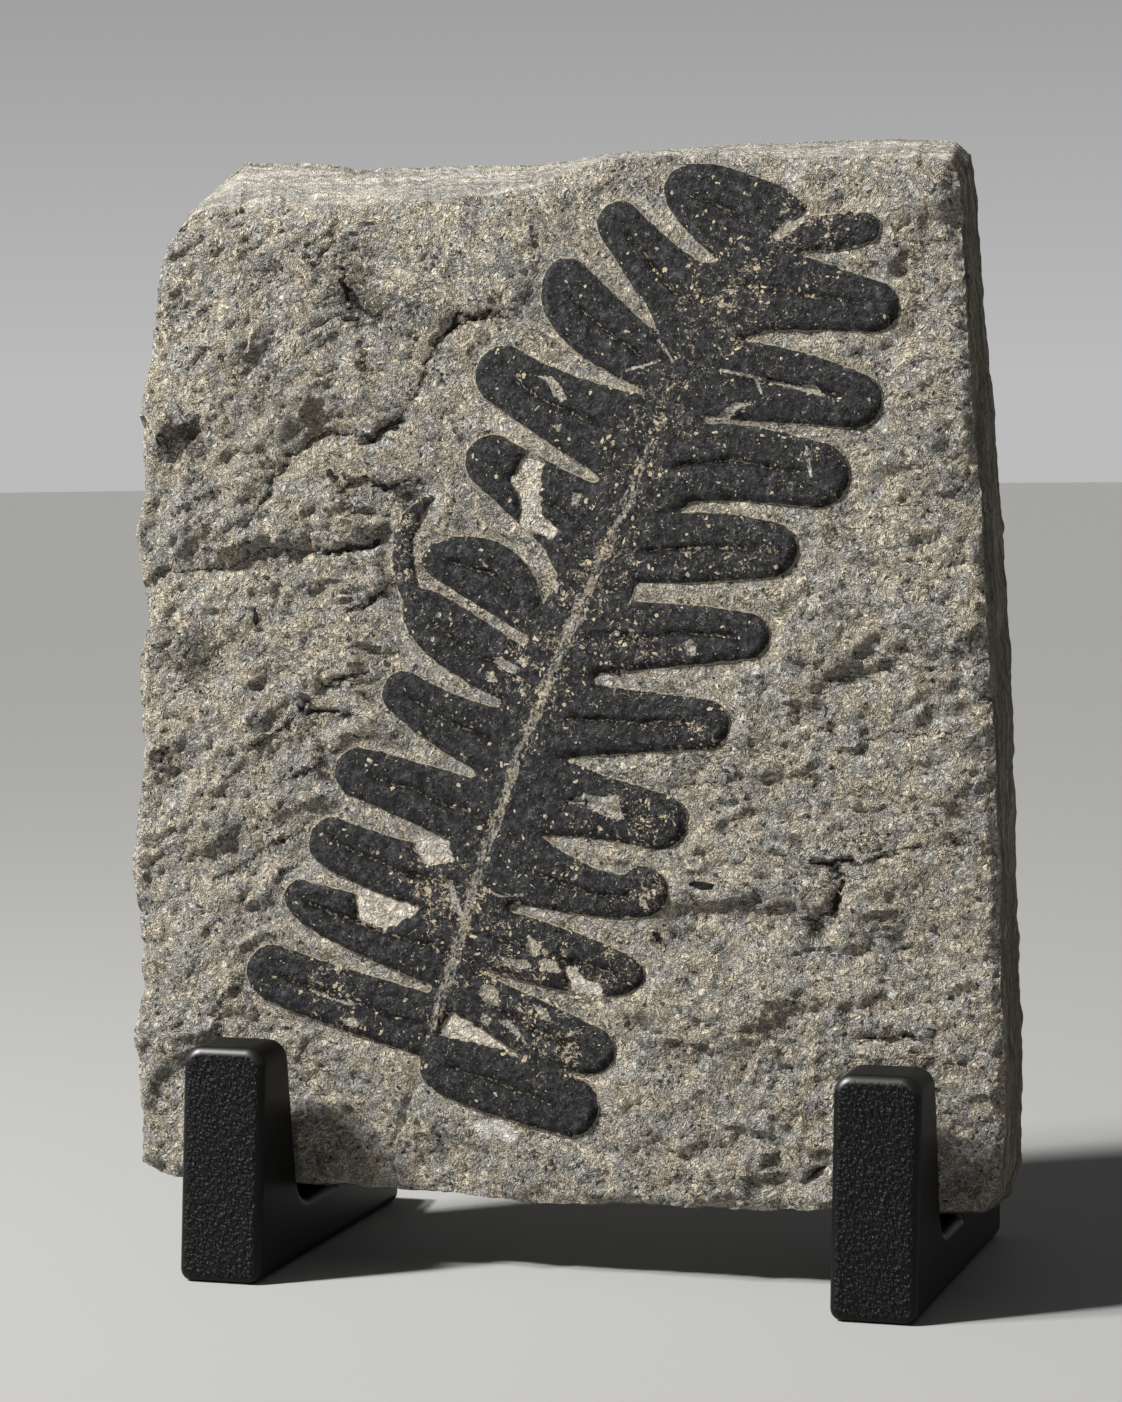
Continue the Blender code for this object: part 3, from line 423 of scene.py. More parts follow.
def drift(points, size, seeds, layers=4, fade=0.55):
    """Two reliefs side by side, to push points about across and up."""
    return np.stack([rough(points, size, seed, layers, fade) for seed in seeds], 1)


def facets(points, size, seed, steep=1.2, crisp=14.0):
    """A hackly break: small faces of random height and slope that meet in steps, about -1 to 1."""
    q = (points + 0.22 * size * drift(points, size * 0.6, (seed + 5, seed + 9), 3)) / size
    q = q + (seed * 3.71, seed * 9.13)
    cell = np.floor(q).astype(np.int64)
    total, weights = np.zeros(len(q)), np.zeros(len(q))
    for i, j in np.ndindex(3, 3):
        ci, cj = cell[:, 0] + i - 1, cell[:, 1] + j - 1
        lots = [chance(ci, cj, seed + k) - 0.5 for k in range(5)]
        x, y = q[:, 0] - ci - 0.5 - 0.8 * lots[0], q[:, 1] - cj - 0.5 - 0.8 * lots[1]
        weight = np.exp(-crisp * (x * x + y * y))
        total += (1.2 * lots[2] + 2 * steep * (x * lots[3] + y * lots[4])) * weight
        weights += weight
    return total / weights


def scales(points, size, seed):
    """Thin overlapping sheets: stepped contours that wander."""
    warped = points + 0.25 * size * drift(points, size * 0.4, (seed + 5, seed + 9))
    level = 3.2 * lumps(warped, size, seed) + 0.02 * warped[:, 1]
    step = level - np.floor(level)
    return smoothstep(step, 0, 0.12) * (1 - step)


# --- The stone

def broad_relief(points):
    """Lumps, hollows and ledges of the stone; the distance from the nearest ledge
    (above it +, below it -), how strong the painted shade of its crack is there, and how
    far into an open cleft each point lies, for the cleft's painted shade."""
    height = 0.35 * np.sin(points[:, 0] / 9.0 + 1.3) * np.sin(points[:, 1] / 11.0)
    height += 0.25 * np.sin(points[:, 0] / 4.1) * np.cos(points[:, 1] / 5.3 + 0.6)
    for u, v, radius, tall in LUMPS:
        height += 1.2 * tall * mound(points, u, v, radius * LUMP_SPREAD)
    jagged = points + 1.1 * drift(points, 8, (21, 22), 4, 0.66)
    nearest, seam, ledge_shade = np.full(len(points), np.inf), np.full(len(points), SEAM_REACH), 0.0
    for k, (tall, reach, line) in enumerate(LEDGES):
        away, side, place = distance_to_line(jagged, line)
        ends = smoothstep(place, 0, 0.15) * smoothstep(1 - place, 0, 0.15)
        uneven = np.clip(0.85 + 0.55 * rough(points, 11, 23 + k, 2), 0.35, 1.4)
        step = min(0.45, 0.4 * tall)
        bulge = step + (1.15 * tall - step) * (1 - (1 - np.clip(away / LEDGE_BULGE, 0, 1)) ** 2)
        height += np.where(side > 0, uneven * ends * bulge * np.exp(-(away / reach) ** 2), 0)
        height -= np.where(side < 0, 0.10 * tall * ends * np.exp(-(away / 2) ** 2), 0)
        closer = away < nearest
        nearest = np.where(closer, away, nearest)
        seam = np.where(closer, np.clip(away * side, -SEAM_REACH, SEAM_REACH), seam)
        ledge_shade = np.where(closer, ends * uneven * min(tall, 1.6) / 1.6, ledge_shade)
    cleft_shade = np.zeros(len(points))
    jagged = points + 0.9 * drift(points, 4.5, (24, 25), 4, 0.7)
    for deep, half, line in CLEFTS:
        away, _, place = distance_to_line(jagged, line)
        taper = smoothstep(place, 0, 0.35) * smoothstep(1 - place, 0, 0.35)
        opening = taper * np.exp(-(away / half) ** 2)
        height -= deep * opening
        cleft_shade = np.maximum(cleft_shade, opening)
    return height, seam, ledge_shade, cleft_shade


def ground(points):
    """The gentle unevenness that stone and frond share."""
    return 0.30 * rough(points, 15, 81, 3, 0.6) + 0.12 * facets(points, 5, 84)


def stone_height(points, frond):
    """How far the stone stands out of the bedding plane that carries the frond."""
    clear = smoothstep(frond, 0.5, 4.0)
    broad, seam, ledge_shade, cleft_shade = broad_relief(points)
    # The grain of the break runs level at the right and climbs at the left.
    turn = CLIMB * (1 - smoothstep(points[:, 0], 40, 130))
    along = points[:, 0] * np.cos(turn) + points[:, 1] * np.sin(turn)
    over = points[:, 1] * np.cos(turn) - points[:, 0] * np.sin(turn)
    wide = np.stack([along * 0.55, over], 1)
    fine = 0.35 * rough(points, 13, 1, 4, 0.62) + 0.65 * scales(wide, 13, 2) + 0.45 * scales(wide, 6, 4)
    fine += (1.10 * facets(wide, 12, 13) + 0.62 * facets(wide, 5.2, 14, crisp=20)
             + 0.40 * facets(wide, 2.8, 15, crisp=20))
    height = broad * clear + fine * (0.22 + 0.78 * clear) - 0.35
    # The upper left corner falls away.
    height -= 1.8 * smoothstep(points[:, 1], 188, 212) * (1 - smoothstep(points[:, 0], 40, 110))
    height -= PIT_DEPTH * mound(points, *PIT)
    height = np.where(frond < -0.4, np.minimum(height, 0.0) * 0.3 - 0.1, height)
    return height + ground(points), seam, ledge_shade * clear, cleft_shade * clear


def on_slab(points, out):
    """Places in metres of points on the slab, out = height off the face."""
    c, s = math.cos(LEAN), math.sin(LEAN)
    x = points[:, 0] - LEFT_OVERHANG
    y = FOOT_Y + points[:, 1] * s - out * c
    z = FOOT_Z + points[:, 1] * c + out * s
    return np.stack([x, y, z], 1) * MM + STAND_CORNER


def side_lines(sides):
    """The four sides of an outline, in turn round it, as evenly spaced points, corners included."""
    lines = []
    for (name, following), count in zip(ROUND_THE_SLAB, (ACROSS, UP, ACROSS, UP)):
        line = np.array(sides[name] + sides[following][:1], float)
        steps = np.r_[0, np.cumsum(np.linalg.norm(np.diff(line, axis=0), axis=1))]
        at = np.linspace(0, steps[-1], count + 1)
        lines.append(np.stack([np.interp(at, steps, line[:, i]) for i in (0, 1)], 1))
    return lines


def sheet_between(bottom, right, top, left):
    """Rows of points that fill four sides, (UP + 1) x (ACROSS + 1)."""
    top, left = top[::-1], left[::-1]
    s = np.linspace(0, 1, ACROSS + 1)[None, :, None]
    t = np.linspace(0, 1, UP + 1)[:, None, None]
    corners = ((1 - s) * (1 - t) * bottom[0] + s * (1 - t) * bottom[-1]
               + (1 - s) * t * top[0] + s * t * top[-1])
    return (1 - t) * bottom + t * top + (1 - s) * left[:, None] + s * right[:, None] - corners


def pushed(ring, by):
    """A closed ring with each of its points pushed outward."""
    tangent = np.roll(ring, -2, axis=0) - np.roll(ring, 2, axis=0)
    tangent /= np.linalg.norm(tangent, axis=1)[:, None]
    return ring + np.stack([tangent[:, 1], -tangent[:, 0]], 1) * by[:, None]


def triangulate(points, edges):
    made = delaunay_2d_cdt([Vector(p) for p in points], edges, [], 0, 1e-4)
    return np.array([tuple(v) for v in made[0]]), np.array([tuple(f) for f in made[2]])


def link(name, data):
    """A new object in the scene."""
    thing = bpy.data.objects.new(name, data)
    bpy.context.scene.collection.objects.link(thing)
    return thing


def smooth_piece(name, shape, mesh=None):
    mesh = mesh or bpy.data.meshes.new(name)
    shape.to_mesh(mesh)
    shape.free()
    mesh.shade_smooth()
    return link(name, mesh)


def make_piece(name, positions, faces, values):
    """A piece whose points keep the numbers that its finish reads."""
    mesh = bpy.data.meshes.new(name)
    mesh.from_pydata(positions.tolist(), [], [list(map(int, f)) for f in faces])
    for key, numbers in values.items():
        mesh.attributes.new(key, "FLOAT", "POINT").data.foreach_set("value", np.asarray(numbers, np.float32))
    shape = bmesh.new()
    shape.from_mesh(mesh)
    bmesh.ops.recalc_face_normals(shape, faces=shape.faces)
    piece = smooth_piece(name, shape, mesh)
    mesh.set_sharp_from_angle(angle=math.radians(55))
    return piece


def worn_arris(points, edge):
    """How far chips and handling have taken the face down near its edge."""
    top = smoothstep(points[:, 1], 196, 210) * (1 - 0.5 * smoothstep(points[:, 0], 90, 140))
    width = 1.6 + 1.5 * np.clip(rough(points, 9, 35), 0, 1) + 3.5 * top
    return (1 - smoothstep(edge, 0, width)) * (0.9 + 0.5 * lumps(points, 5, 36) + 0.9 * top)


def broken_sides(face_ring, back_ring, around, rim_height):
    """The rings between face and back: broken beds that swell a little, each set off from the next."""
    beds = np.cumsum(np.sin(np.arange(DEEP + 1) * 2.3) * 0.8 + np.sin(np.arange(DEEP + 1) * 0.71))
    beds -= beds.mean()
    for k in range(1, DEEP):
        depth = k / DEEP
        place = around + (0, depth * 40)
        layer = rough(around * 0.25 + (depth * 60, 0), 4, 41, 3)
        swell = 0.5 * math.prod(math.sin(math.pi / 2 * min(d * 3, 1)) for d in (depth, 1 - depth))
        line = pushed(face_ring * (1 - depth) + back_ring * depth,
                      swell + 0.30 * layer + 0.12 * beds[k] + 0.2 * lumps(place, 3, 43))
        yield on_slab(line, rim_height * (1 - depth) - depth * THICKNESS + 0.2 * lumps(place, 4, 44))


def build_back(ring):
    """The plain back: its places and triangles, and how far each point is from the edge."""
    (left, foot), (right, head) = ring.min(axis=0), ring.max(axis=0)
    grid = grid_of(np.arange(left, right, BACK_CELL), np.arange(foot, head, BACK_CELL))
    grid = grid + 0.3 * drift(grid, 3, (51, 52), 1)
    edge = closed(ring[::4])
    grid = grid[inside(grid, ring[::2]) & (distance_to_line(grid, edge)[0] > 1.4)]
    placed, triangles = triangulate([*ring, *grid], ring_edges(0, len(ring)))
    triangles = triangles[inside(placed[triangles].mean(axis=1), ring)]
    gap = distance_to_line(placed, edge)[0]
    lift = 0.5 * rough(placed, 26, 53) + 0.35 * scales(placed, 22, 54) - 0.9
    return on_slab(placed, BACK_LIFT - THICKNESS + lift * smoothstep(gap, 0, 6)), triangles, gap


def build_stone():
    points = sheet_between(*side_lines(FACE_SIDES)).reshape(-1, 2)
    row, count = ACROSS + 1, 2 * (ACROSS + UP)
    rim = np.concatenate([np.arange(ACROSS), ACROSS + row * np.arange(UP),
                          row * UP + np.arange(ACROSS, 0, -1), row * np.arange(UP, 0, -1)])
    # Chips along the arris wander in and out.
    run = np.arange(count)
    turn = run / count * 2 * np.pi
    around = np.stack([np.cos(turn), np.sin(turn)], 1) * count * RING_SCALE
    back_ring = np.vstack([line[:-1] for line in side_lines(BACK_SIDES)])
    back_ring = pushed(back_ring, 0.30 * rough(around, 8, 33, 4, 0.65))
    points[rim] = face_ring = pushed(points[rim], 0.35 * rough(around, 6, 31, 4, 0.6))

    edge = distance_to_line(points, closed(face_ring[::4]))[0]
    edge[rim] = 0.0
    height, seam, ledge_shade, cleft_shade = stone_height(points, distance_to_frond(points))
    height -= worn_arris(points, edge)
    sides = list(broken_sides(face_ring, back_ring, around, height[rim]))
    back, back_triangles, gap = build_back(back_ring)
    positions = np.vstack([on_slab(points, height), *sides, back])

    first_side, first_back = len(points), len(points) + len(sides) * count
    corner = (np.arange(UP)[:, None] * row + np.arange(ACROSS)).reshape(-1)
    faces = [*np.stack([corner, corner + 1, corner + row + 1, corner + row], 1)]
    rings = [rim, *(first_side + k * count + run for k in range(DEEP))]
    for nearer, further in zip(rings[:-1], rings[1:]):
        faces += [*np.stack([nearer, np.roll(nearer, -1), np.roll(further, -1), further], 1)]
    faces += [*(back_triangles + first_back)]

    # Dark stains, with painted shade in the hollows where many of them sit.
    stain_and_shade_spots = sum(strength * mound(points, u, v, reach) for u, v, reach, strength in STAIN_AND_SHADE_SPOTS)
    fresh = sum(np.clip(1 - distance_to_polygon(points, patch) / 1.5, 0, 1) for patch in FLAKED)
    chip = np.clip(0.5 - distance_to_polygon(points, WHITE_CHIP) / 1.2, 0, 1)
    for u, v, length, width, degrees in SLIVERS:
        c, s = math.cos(math.radians(degrees)), math.sin(math.radians(degrees))
        across, over = (points - (u, v)) @ (c, s), (points - (u, v)) @ (-s, c)
        chip -= np.clip(1.6 - 1.6 * np.hypot(across / length, over / width), 0, 1)

    def on_face(values, elsewhere=0.0):
        return np.r_[values, np.full(len(positions) - len(points), elsewhere)]

    side = np.zeros(len(positions))
    side[first_side:first_back] = 1.0
    return make_piece("stone", positions, faces, {
        "edge": np.r_[edge, np.zeros(first_back - first_side), gap], "side": side,
        "ledge_shade": on_face(ledge_shade), "seam": on_face(seam, SEAM_REACH), "cleft_shade": on_face(cleft_shade),
        "stain_and_shade_spots": on_face(stain_and_shade_spots), "chip": on_face(chip), "fresh": on_face(np.minimum(fresh, 1))})


# --- The frond

def contours(field, us, vs, level):
    """Closed outlines, blade on the left, where a field on a grid crosses a level."""
    field = field - level
    solid = field < 0
    cells = solid[:-1, :-1].astype(int) + solid[1:, :-1] + solid[1:, 1:] + solid[:-1, 1:]
    following, crossing = {}, {}
    for i, j in zip(*np.nonzero((cells > 0) & (cells < 4))):
        around = [(i, j), (i + 1, j), (i + 1, j + 1), (i, j + 1)]
        for k in range(4):
            here, ahead = around[k], around[(k + 1) % 4]
            if not solid[here] or solid[ahead]:
                continue
            back = k
            while solid[around[back - 1]]:
                back -= 1
            start, end = frozenset((here, ahead)), frozenset((around[back - 1], around[back]))
            following[start] = end
            for edge in (start, end):
                p, q = sorted(edge)
                share = field[p] / (field[p] - field[q])
                crossing[edge] = (us[p[0]] * (1 - share) + us[q[0]] * share,
                                  vs[p[1]] * (1 - share) + vs[q[1]] * share)
    while following:
        at, loop = next(iter(following)), []
        while at in following:
            loop.append(crossing[at])
            at = following.pop(at)
        yield np.array(loop)


def thinned(loop, closest):
    """A closed outline without points that crowd each other."""
    kept = [0]
    for i in range(1, len(loop)):
        if np.hypot(*(loop[i] - loop[kept[-1]])) > closest:
            kept.append(i)
    if len(kept) > 3 and np.hypot(*(loop[kept[-1]] - loop[0])) < closest:
        kept.pop()
    return loop[kept]


def loop_area(loop):
    ahead = np.roll(loop, -1, axis=0)
    return 0.5 * (loop[:, 0] @ ahead[:, 1] - loop[:, 1] @ ahead[:, 0])


def sample(field, us, vs, points):
    """Values of a gridded field at points, blended between the grid's corners."""
    i = np.clip((points[:, 0] - us[0]) / FILM_CELL, 0, len(us) - 1.001)
    j = np.clip((points[:, 1] - vs[0]) / FILM_CELL, 0, len(vs) - 1.001)
    a, b = i.astype(int), j.astype(int)
    f, g = i - a, j - b
    return (field[a, b] * (1 - f) * (1 - g) + field[a + 1, b] * f * (1 - g)
            + field[a, b + 1] * (1 - f) * g + field[a + 1, b + 1] * f * g)


def film_height(points, depth):
    """Height of the film over the stone: cushioned halves on each pinnule, creased
    along its midrib, and how near the crease is, which the finish uses for the
    crease's painted shade and tan midrib."""
    cushion, crease, midrib_and_shade = (np.zeros(len(points)) for _ in range(3))
    waver = 0.7 * drift(points, 9, (91, 92))
    for name, close, deep, away, place in pinnule_depths(points, waver):
        own = smoothstep(deep, -1.5, 2.0)
        if name in UNCREASED:
            cushion[close] = np.maximum(cushion[close], 0.6 * own)
            continue
        from_tip = np.linalg.norm(points[close] - PINNULES[name][2], axis=1)
        ends = smoothstep(place, 0.05, 0.25) * smoothstep(from_tip, 0.5, 4.0) * (deep > 0)
        valley = (1 - smoothstep(away, 0.3, 2.4)) * ends
        cushion[close] = np.maximum(cushion[close], own * (1 - 0.35 * valley))
        crease[close] = np.maximum(crease[close], (1 - smoothstep(away, 0.0, 1.3)) * ends)
        midrib_and_shade[close] = np.maximum(midrib_and_shade[close], np.where(deep > 0.3, (1 - away / 1.2) * ends, 0))
    t = np.clip(depth / FILM_ROUND, 0, 1)
    height = FILM_RISE * (1 - (1 - t) ** 2) * (0.45 + 0.55 * cushion) - CREASE_DEPTH * crease
    return height + 0.08 * rough(points, 5, 61, 4, 0.65) * t + 0.10 * facets(points, 3.4, 62) * t, midrib_and_shade


def bare_places(points):
    """1 in the middle of a bare patch, 0.5 at its edge, 0 away from it."""
    bare = np.zeros(len(points))
    for line in BARE + TEARS:
        close = near(points, line, 2)
        if line in TEARS:
            shown = 0.85 - distance_to_line(points[close], line)[0] / 0.9
        else:
            shown = 0.5 - distance_to_polygon(points[close], line) / 1.2
        bare[close] = np.maximum(bare[close], shown)
    return np.clip(bare, 0, 1)


def build_film():
    us, vs = np.arange(24.0, 176.0, FILM_CELL), np.arange(6.0, 224.0, FILM_CELL)
    grid = grid_of(us, vs)
    torn = sum(mound(grid, u, v, 8) for u, v in TORN_ENDS)
    distance = distance_to_frond(grid, True) + (0.17 + 0.6 * torn) * rough(grid, 2.4, 71, 3, 0.7)
    field = distance.reshape(len(us), len(vs))
    # Outlines at a few depths carry the rounded rim; a plain grid fills the rest.
    points, edges, rim_count = [], [], 0
    for level in RIM_LEVELS:
        for loop in contours(field, us, vs, level):
            if abs(loop_area(loop)) < SMALLEST_LOOP:
                continue
            loop = thinned(loop, 0.28)
            edges += ring_edges(len(points), len(loop))
            points += [*loop]
        rim_count = rim_count or len(points)
    rim = np.array(points[:rim_count])
    rim_edges = [e for e in edges if e[0] < rim_count]

    def filled(corners, joins):
        """Triangles between the given corners, within the rim."""
        placed, triangles = triangulate(corners, joins)
        return placed, triangles[inside(placed[triangles].mean(axis=1), rim, rim_edges)]

    placed, triangles = filled([*points, *grid[distance < RIM_LEVELS[-1] - 0.6 * FILM_CELL]], edges)
    under, under_triangles = filled(rim, rim_edges)
    depth = -sample(field, us, vs, placed)
    depth[:rim_count] = 0.0
    height, midrib_and_shade = film_height(placed, np.maximum(depth, 0))
    bare = bare_places(placed)
    height -= 0.1 + 0.30 * smoothstep(bare, 0.4, 0.7) * smoothstep(depth, 0.2, 0.6)
    positions = np.vstack([on_slab(placed, ground(placed) + height),
                           on_slab(under, ground(under) - FILM_SUNK)])
    first = len(placed)
    faces = [*triangles, *(under_triangles[:, ::-1] + first)]
    faces += [(b, a, first + a, first + b) for a, b in rim_edges]

    everywhere = np.vstack([placed, under])
    away, side, place = distance_to_line(everywhere, RACHIS)
    wear = 0.15 + 0.14 * np.exp(-(away / 4.5) ** 2)
    wear += 0.62 * sum(strength * mound(everywhere, u, v, reach) for u, v, reach, strength in WORN)
    stalk = smoothstep(place, 0.06, 0.14) * (1 - smoothstep(place, 0.62, 0.85))
    stalk *= 1 - smoothstep(away, 0.7, 2.2)
    below = np.zeros(len(under))
    return make_piece("film", positions, faces, {
        "wear": wear, "stalk": stalk, "across": away * side, "along": place * RACHIS_LENGTH,
        "bare": np.r_[bare, below], "midrib_and_shade": np.r_[midrib_and_shade, below], "depth": np.r_[depth, below]})


# --- The holders

def holder_section():
    """Side view of a holder as (y, z): foot, back rest, shelf and lug."""
    back_y, back_z = FOOT_Y + THICKNESS * math.cos(LEAN), FOOT_Z - THICKNESS * math.sin(LEAN)
    shelf = back_z - SHELF_GAP

    def rest(z, behind=0.0):
        return back_y + (z - back_z) * math.tan(LEAN) + REST_GAP + behind, z

    brace = HOLDER_BASE + REST_BRACE
    section = [(0.0, 0.0), (HOLDER_DEPTH, 0.0), (HOLDER_DEPTH, FOOT_END),
               rest(HOLDER_BASE, REST_THICKNESS + REST_BRACE), rest(brace, REST_THICKNESS),
               rest(REST_HEIGHT, REST_THICKNESS), rest(REST_HEIGHT),
               (rest(HOLDER_BASE - SHELF_GAP)[0], shelf)]
    lug_back = math.atan2(LUG_HEIGHT - LUG_ROOT_Z, LUG_LEAN + LUG_TOP_DEPTH - LUG_ROOT_Y)
    corner = LUG_ROOT_Y + (LUG_ROOT_Z - shelf) / math.tan(math.pi - lug_back)
    y, z = corner + LUG_FILLET / math.tan(lug_back / 2), shelf + LUG_FILLET
    for k in range(11):
        turn = -math.pi / 2 - (math.pi - lug_back) * k / 10
        section.append((y + LUG_FILLET * math.cos(turn), z + LUG_FILLET * math.sin(turn)))
    return section + [(LUG_LEAN + LUG_TOP_DEPTH, LUG_HEIGHT), (LUG_LEAN, LUG_HEIGHT)]


def build_holder(name, left):
    section = holder_section()
    shape = bmesh.new()
    near_side, far_side = ([shape.verts.new(np.array((x, y, z)) * MM + STAND_CORNER) for y, z in section]
                           for x in (left, left + HOLDER_WIDTH))
    shape.faces.new(near_side)
    shape.faces.new(far_side[::-1])
    for i, j in ring_edges(0, len(section)):
        shape.faces.new((near_side[j], near_side[i], far_side[i], far_side[j]))
    bmesh.ops.recalc_face_normals(shape, faces=shape.faces)

    def front_to_back(height):
        """Edges that run from front to back at a height."""
        return [e for e in shape.edges if all(abs(v.co.z - height * MM) < 1e-6 for v in e.verts)
                and abs(e.verts[0].co.x - e.verts[1].co.x) < 1e-6]

    def soften(edges, offset, segments):
        bmesh.ops.bevel(shape, geom=edges, offset=offset * MM, offset_type="OFFSET", segments=segments,
                        profile=0.5, affect="EDGES", clamp_overlap=True)

    soften(front_to_back(LUG_HEIGHT), LUG_CORNER, 8)
    soften(front_to_back(0.0), FOOT_CORNER, 6)
    soften([e for e in shape.edges if len(e.link_faces) == 2 and e.calc_face_angle() > math.radians(40)],
           HOLDER_BEVEL, 4)
    piece = smooth_piece(name, shape)
    even = piece.modifiers.new("even_shading", "WEIGHTED_NORMAL")
    even.keep_sharp, even.weight = False, 80
    return piece


# --- Finishes

def operator(kind, swapped=False):
    """A way to join a Wire with a number or another Wire through a Math node."""
    def join(self, other=0.0):
        first, second = (other, self) if swapped else (self, other)
        return self.finish.node("ShaderNodeMath", {"operation": kind}, {0: first, 1: second})
    return join


class Wire:
    """A value, place or colour that runs between shader nodes."""

    def __init__(self, finish, socket):
        self.finish, self.socket = finish, socket

    __add__, __radd__ = operator("ADD"), operator("ADD", True)
    __sub__, __rsub__ = operator("SUBTRACT"), operator("SUBTRACT", True)
    __mul__, __rmul__ = operator("MULTIPLY"), operator("MULTIPLY", True)
    __pow__, most, size = operator("POWER"), operator("MAXIMUM"), operator("ABSOLUTE")

    def vector(self, operation, other, output=0):
        return self.finish.node("ShaderNodeVectorMath", {"operation": operation}, {0: self, 1: other}, output)

    def shade(self, amount):
        """A colour made lighter or darker, or a push made longer or shorter."""
        return self.finish.node("ShaderNodeVectorMath", {"operation": "SCALE"}, {0: self, "Scale": amount})

    def step(self, low, high):
        return self.finish.node("ShaderNodeMapRange", {"interpolation_type": "SMOOTHSTEP"},
                                {"Value": self, "From Min": low, "From Max": high})

    def fade(self, low, high):
        return 1 - self.step(low, high)

    def thread(self, middle, inner, outer):
        """1 along the line where the value passes its middle, 0 beside it."""
        return (self - middle).size().fade(inner, outer)

    def under(self, amount, colour):
        """A colour with some of another laid over it."""
        return self.finish.mix(amount, self, colour)

    def ramp(self, *stops):
        return self.finish.node("ShaderNodeValToRGB", {"stops": stops}, {0: self})

    def warp(self, scale, reach, detail=2.0):
        """The same place pushed about by a smooth random amount."""
        push = self.finish.noise(self, scale, detail, output=1).vector("SUBTRACT", HALVES)
        return self.vector("ADD", push.shade(reach))


class Finish:
    """One material, built from values and a few kinds of pattern."""

    def __init__(self, name):
        self.material = bpy.data.materials.new(name)
        self.material.use_nodes = True
        self.tree = self.material.node_tree
        self.shader = self.tree.nodes["Principled BSDF"]

    def node(self, kind, settings, inputs, output=0):
        node = self.tree.nodes.new(kind)
        for key, value in settings.items():
            if key == "stops":
                set_stops(node.color_ramp, value)
            else:
                setattr(node, key, value)
        for key, value in inputs.items():
            self.feed(node.inputs[key], value)
        return Wire(self, node.outputs[output])

    def feed(self, socket, value):
        if isinstance(value, Wire):
            self.tree.links.new(value.socket, socket)
        elif socket.type == "RGBA":
            socket.default_value = (*value, 1.0)
        else:
            socket.default_value = value

    def set(self, relief=None, **inputs):
        """Feed the shader; relief is a height in millimetres."""
        if relief is not None:
            bump = {"Height": relief, "Distance": MM, "Strength": 1.0}
            inputs["Normal"] = self.node("ShaderNodeBump", {}, bump)
        for name, value in inputs.items():
            self.feed(self.shader.inputs[name.replace("_", " ")], value)
        return self.material

    def place(self, turn=(LEAN, 0, 0)):
        """Millimetres across, into and up the leaning slab, or turned otherwise."""
        own = self.node("ShaderNodeTexCoord", {}, {}, "Object")
        return self.node("ShaderNodeMapping", {}, {"Vector": own, "Rotation": turn, "Scale": [1 / MM] * 3})

    def facing(self, way):
        """How squarely the surface faces a direction, from -1 to 1."""
        return self.node("ShaderNodeNewGeometry", {}, {}, "Normal").vector("DOT_PRODUCT", way, "Value")

    def noise(self, at, scale, detail=2.0, roughness=0.5, output=0):
        inputs = {"Vector": at, "Scale": scale, "Detail": detail, "Roughness": roughness}
        return self.node("ShaderNodeTexNoise", {}, inputs, output)

    def cells(self, at, scale):
        """Distance to the middle of the nearest grain, its three random numbers, and the
        height of its own sloping face."""
        away = self.node("ShaderNodeTexVoronoi", {}, {"Vector": at, "Scale": scale})
        random, middle = (Wire(self, away.socket.node.outputs[n]) for n in ("Color", "Position"))
        lots = self.node("ShaderNodeSeparateColor", {}, {0: random}).socket.node.outputs
        face = at.vector("SUBTRACT", middle).vector("DOT_PRODUCT", random.vector("SUBTRACT", HALVES), "Value")
        return away, [Wire(self, lots[k]) for k in range(3)], face

    def mix(self, factor, first, second):
        return self.node("ShaderNodeMix", {"data_type": "RGBA"}, {0: factor, 6: first, 7: second}, 2)

    def values(self, *names):
        """Numbers kept on the piece's points."""
        return [self.node("ShaderNodeAttribute", {"attribute_name": name}, {}, "Fac") for name in names]


def set_stops(ramp, stops):
    while len(ramp.elements) > 1:
        ramp.elements.remove(ramp.elements[-1])
    for k, (place, colour) in enumerate(stops):
        stop = ramp.elements[0] if k == 0 else ramp.elements.new(place)
        stop.position, stop.color = place, (*colour, 1.0)


def stone_colour(finish):
    """Rough grey-beige stone: its colour, the height of its grain in millimetres
    and the wavering place that both are drawn on."""
    at = finish.place().warp(0.35, 2.4, 1.0)
    tone, cool = finish.noise(at, 0.055, 2.0, 0.6), finish.noise(at, 0.20, 3.0, 0.65)
    dust, curls = finish.noise(at, 2.2, 2.0, 0.85), finish.noise(at, 0.64, 3.0, 0.70)
    grain, lots, grain_face = finish.cells(at, 1.15)
    colour = finish.mix(cool.step(0.42, 0.58) * 0.85,
                        finish.mix(lots[0], *WARM_STONE), finish.mix(lots[0], *BLUE_STONE))
    colour = colour.shade(0.54 + dust.step(0.32, 0.68) * 0.96)
    # Curled cream lines wind through the grain, partly a painted highlight on the crests of its folds; dark
    # splits paint shade into the creases, with a few dark grains.
    cream_and_highlight = curls.thread(0.60, 0.006, 0.024) * lots[2].step(0.20, 0.30)
    split = curls.thread(0.5, 0.004, 0.022) * lots[2].step(0.35, 0.45)
    specks = lots[1].step(0.95, 0.955) * grain.fade(0.45, 0.6)
    colour = colour.under(cream_and_highlight * 0.70, (0.78, 0.66, 0.47)).under(split * 0.65, (0.034, 0.031, 0.027))
    colour = colour.under(specks * 0.85, (0.030, 0.032, 0.038)).shade(0.74 + tone * 0.56)
    folds = (curls - 0.5).size().step(0.0, 0.11)
    return colour, grain_face * 0.80 + dust * 0.28 + folds * 0.46 + curls * 0.60, at


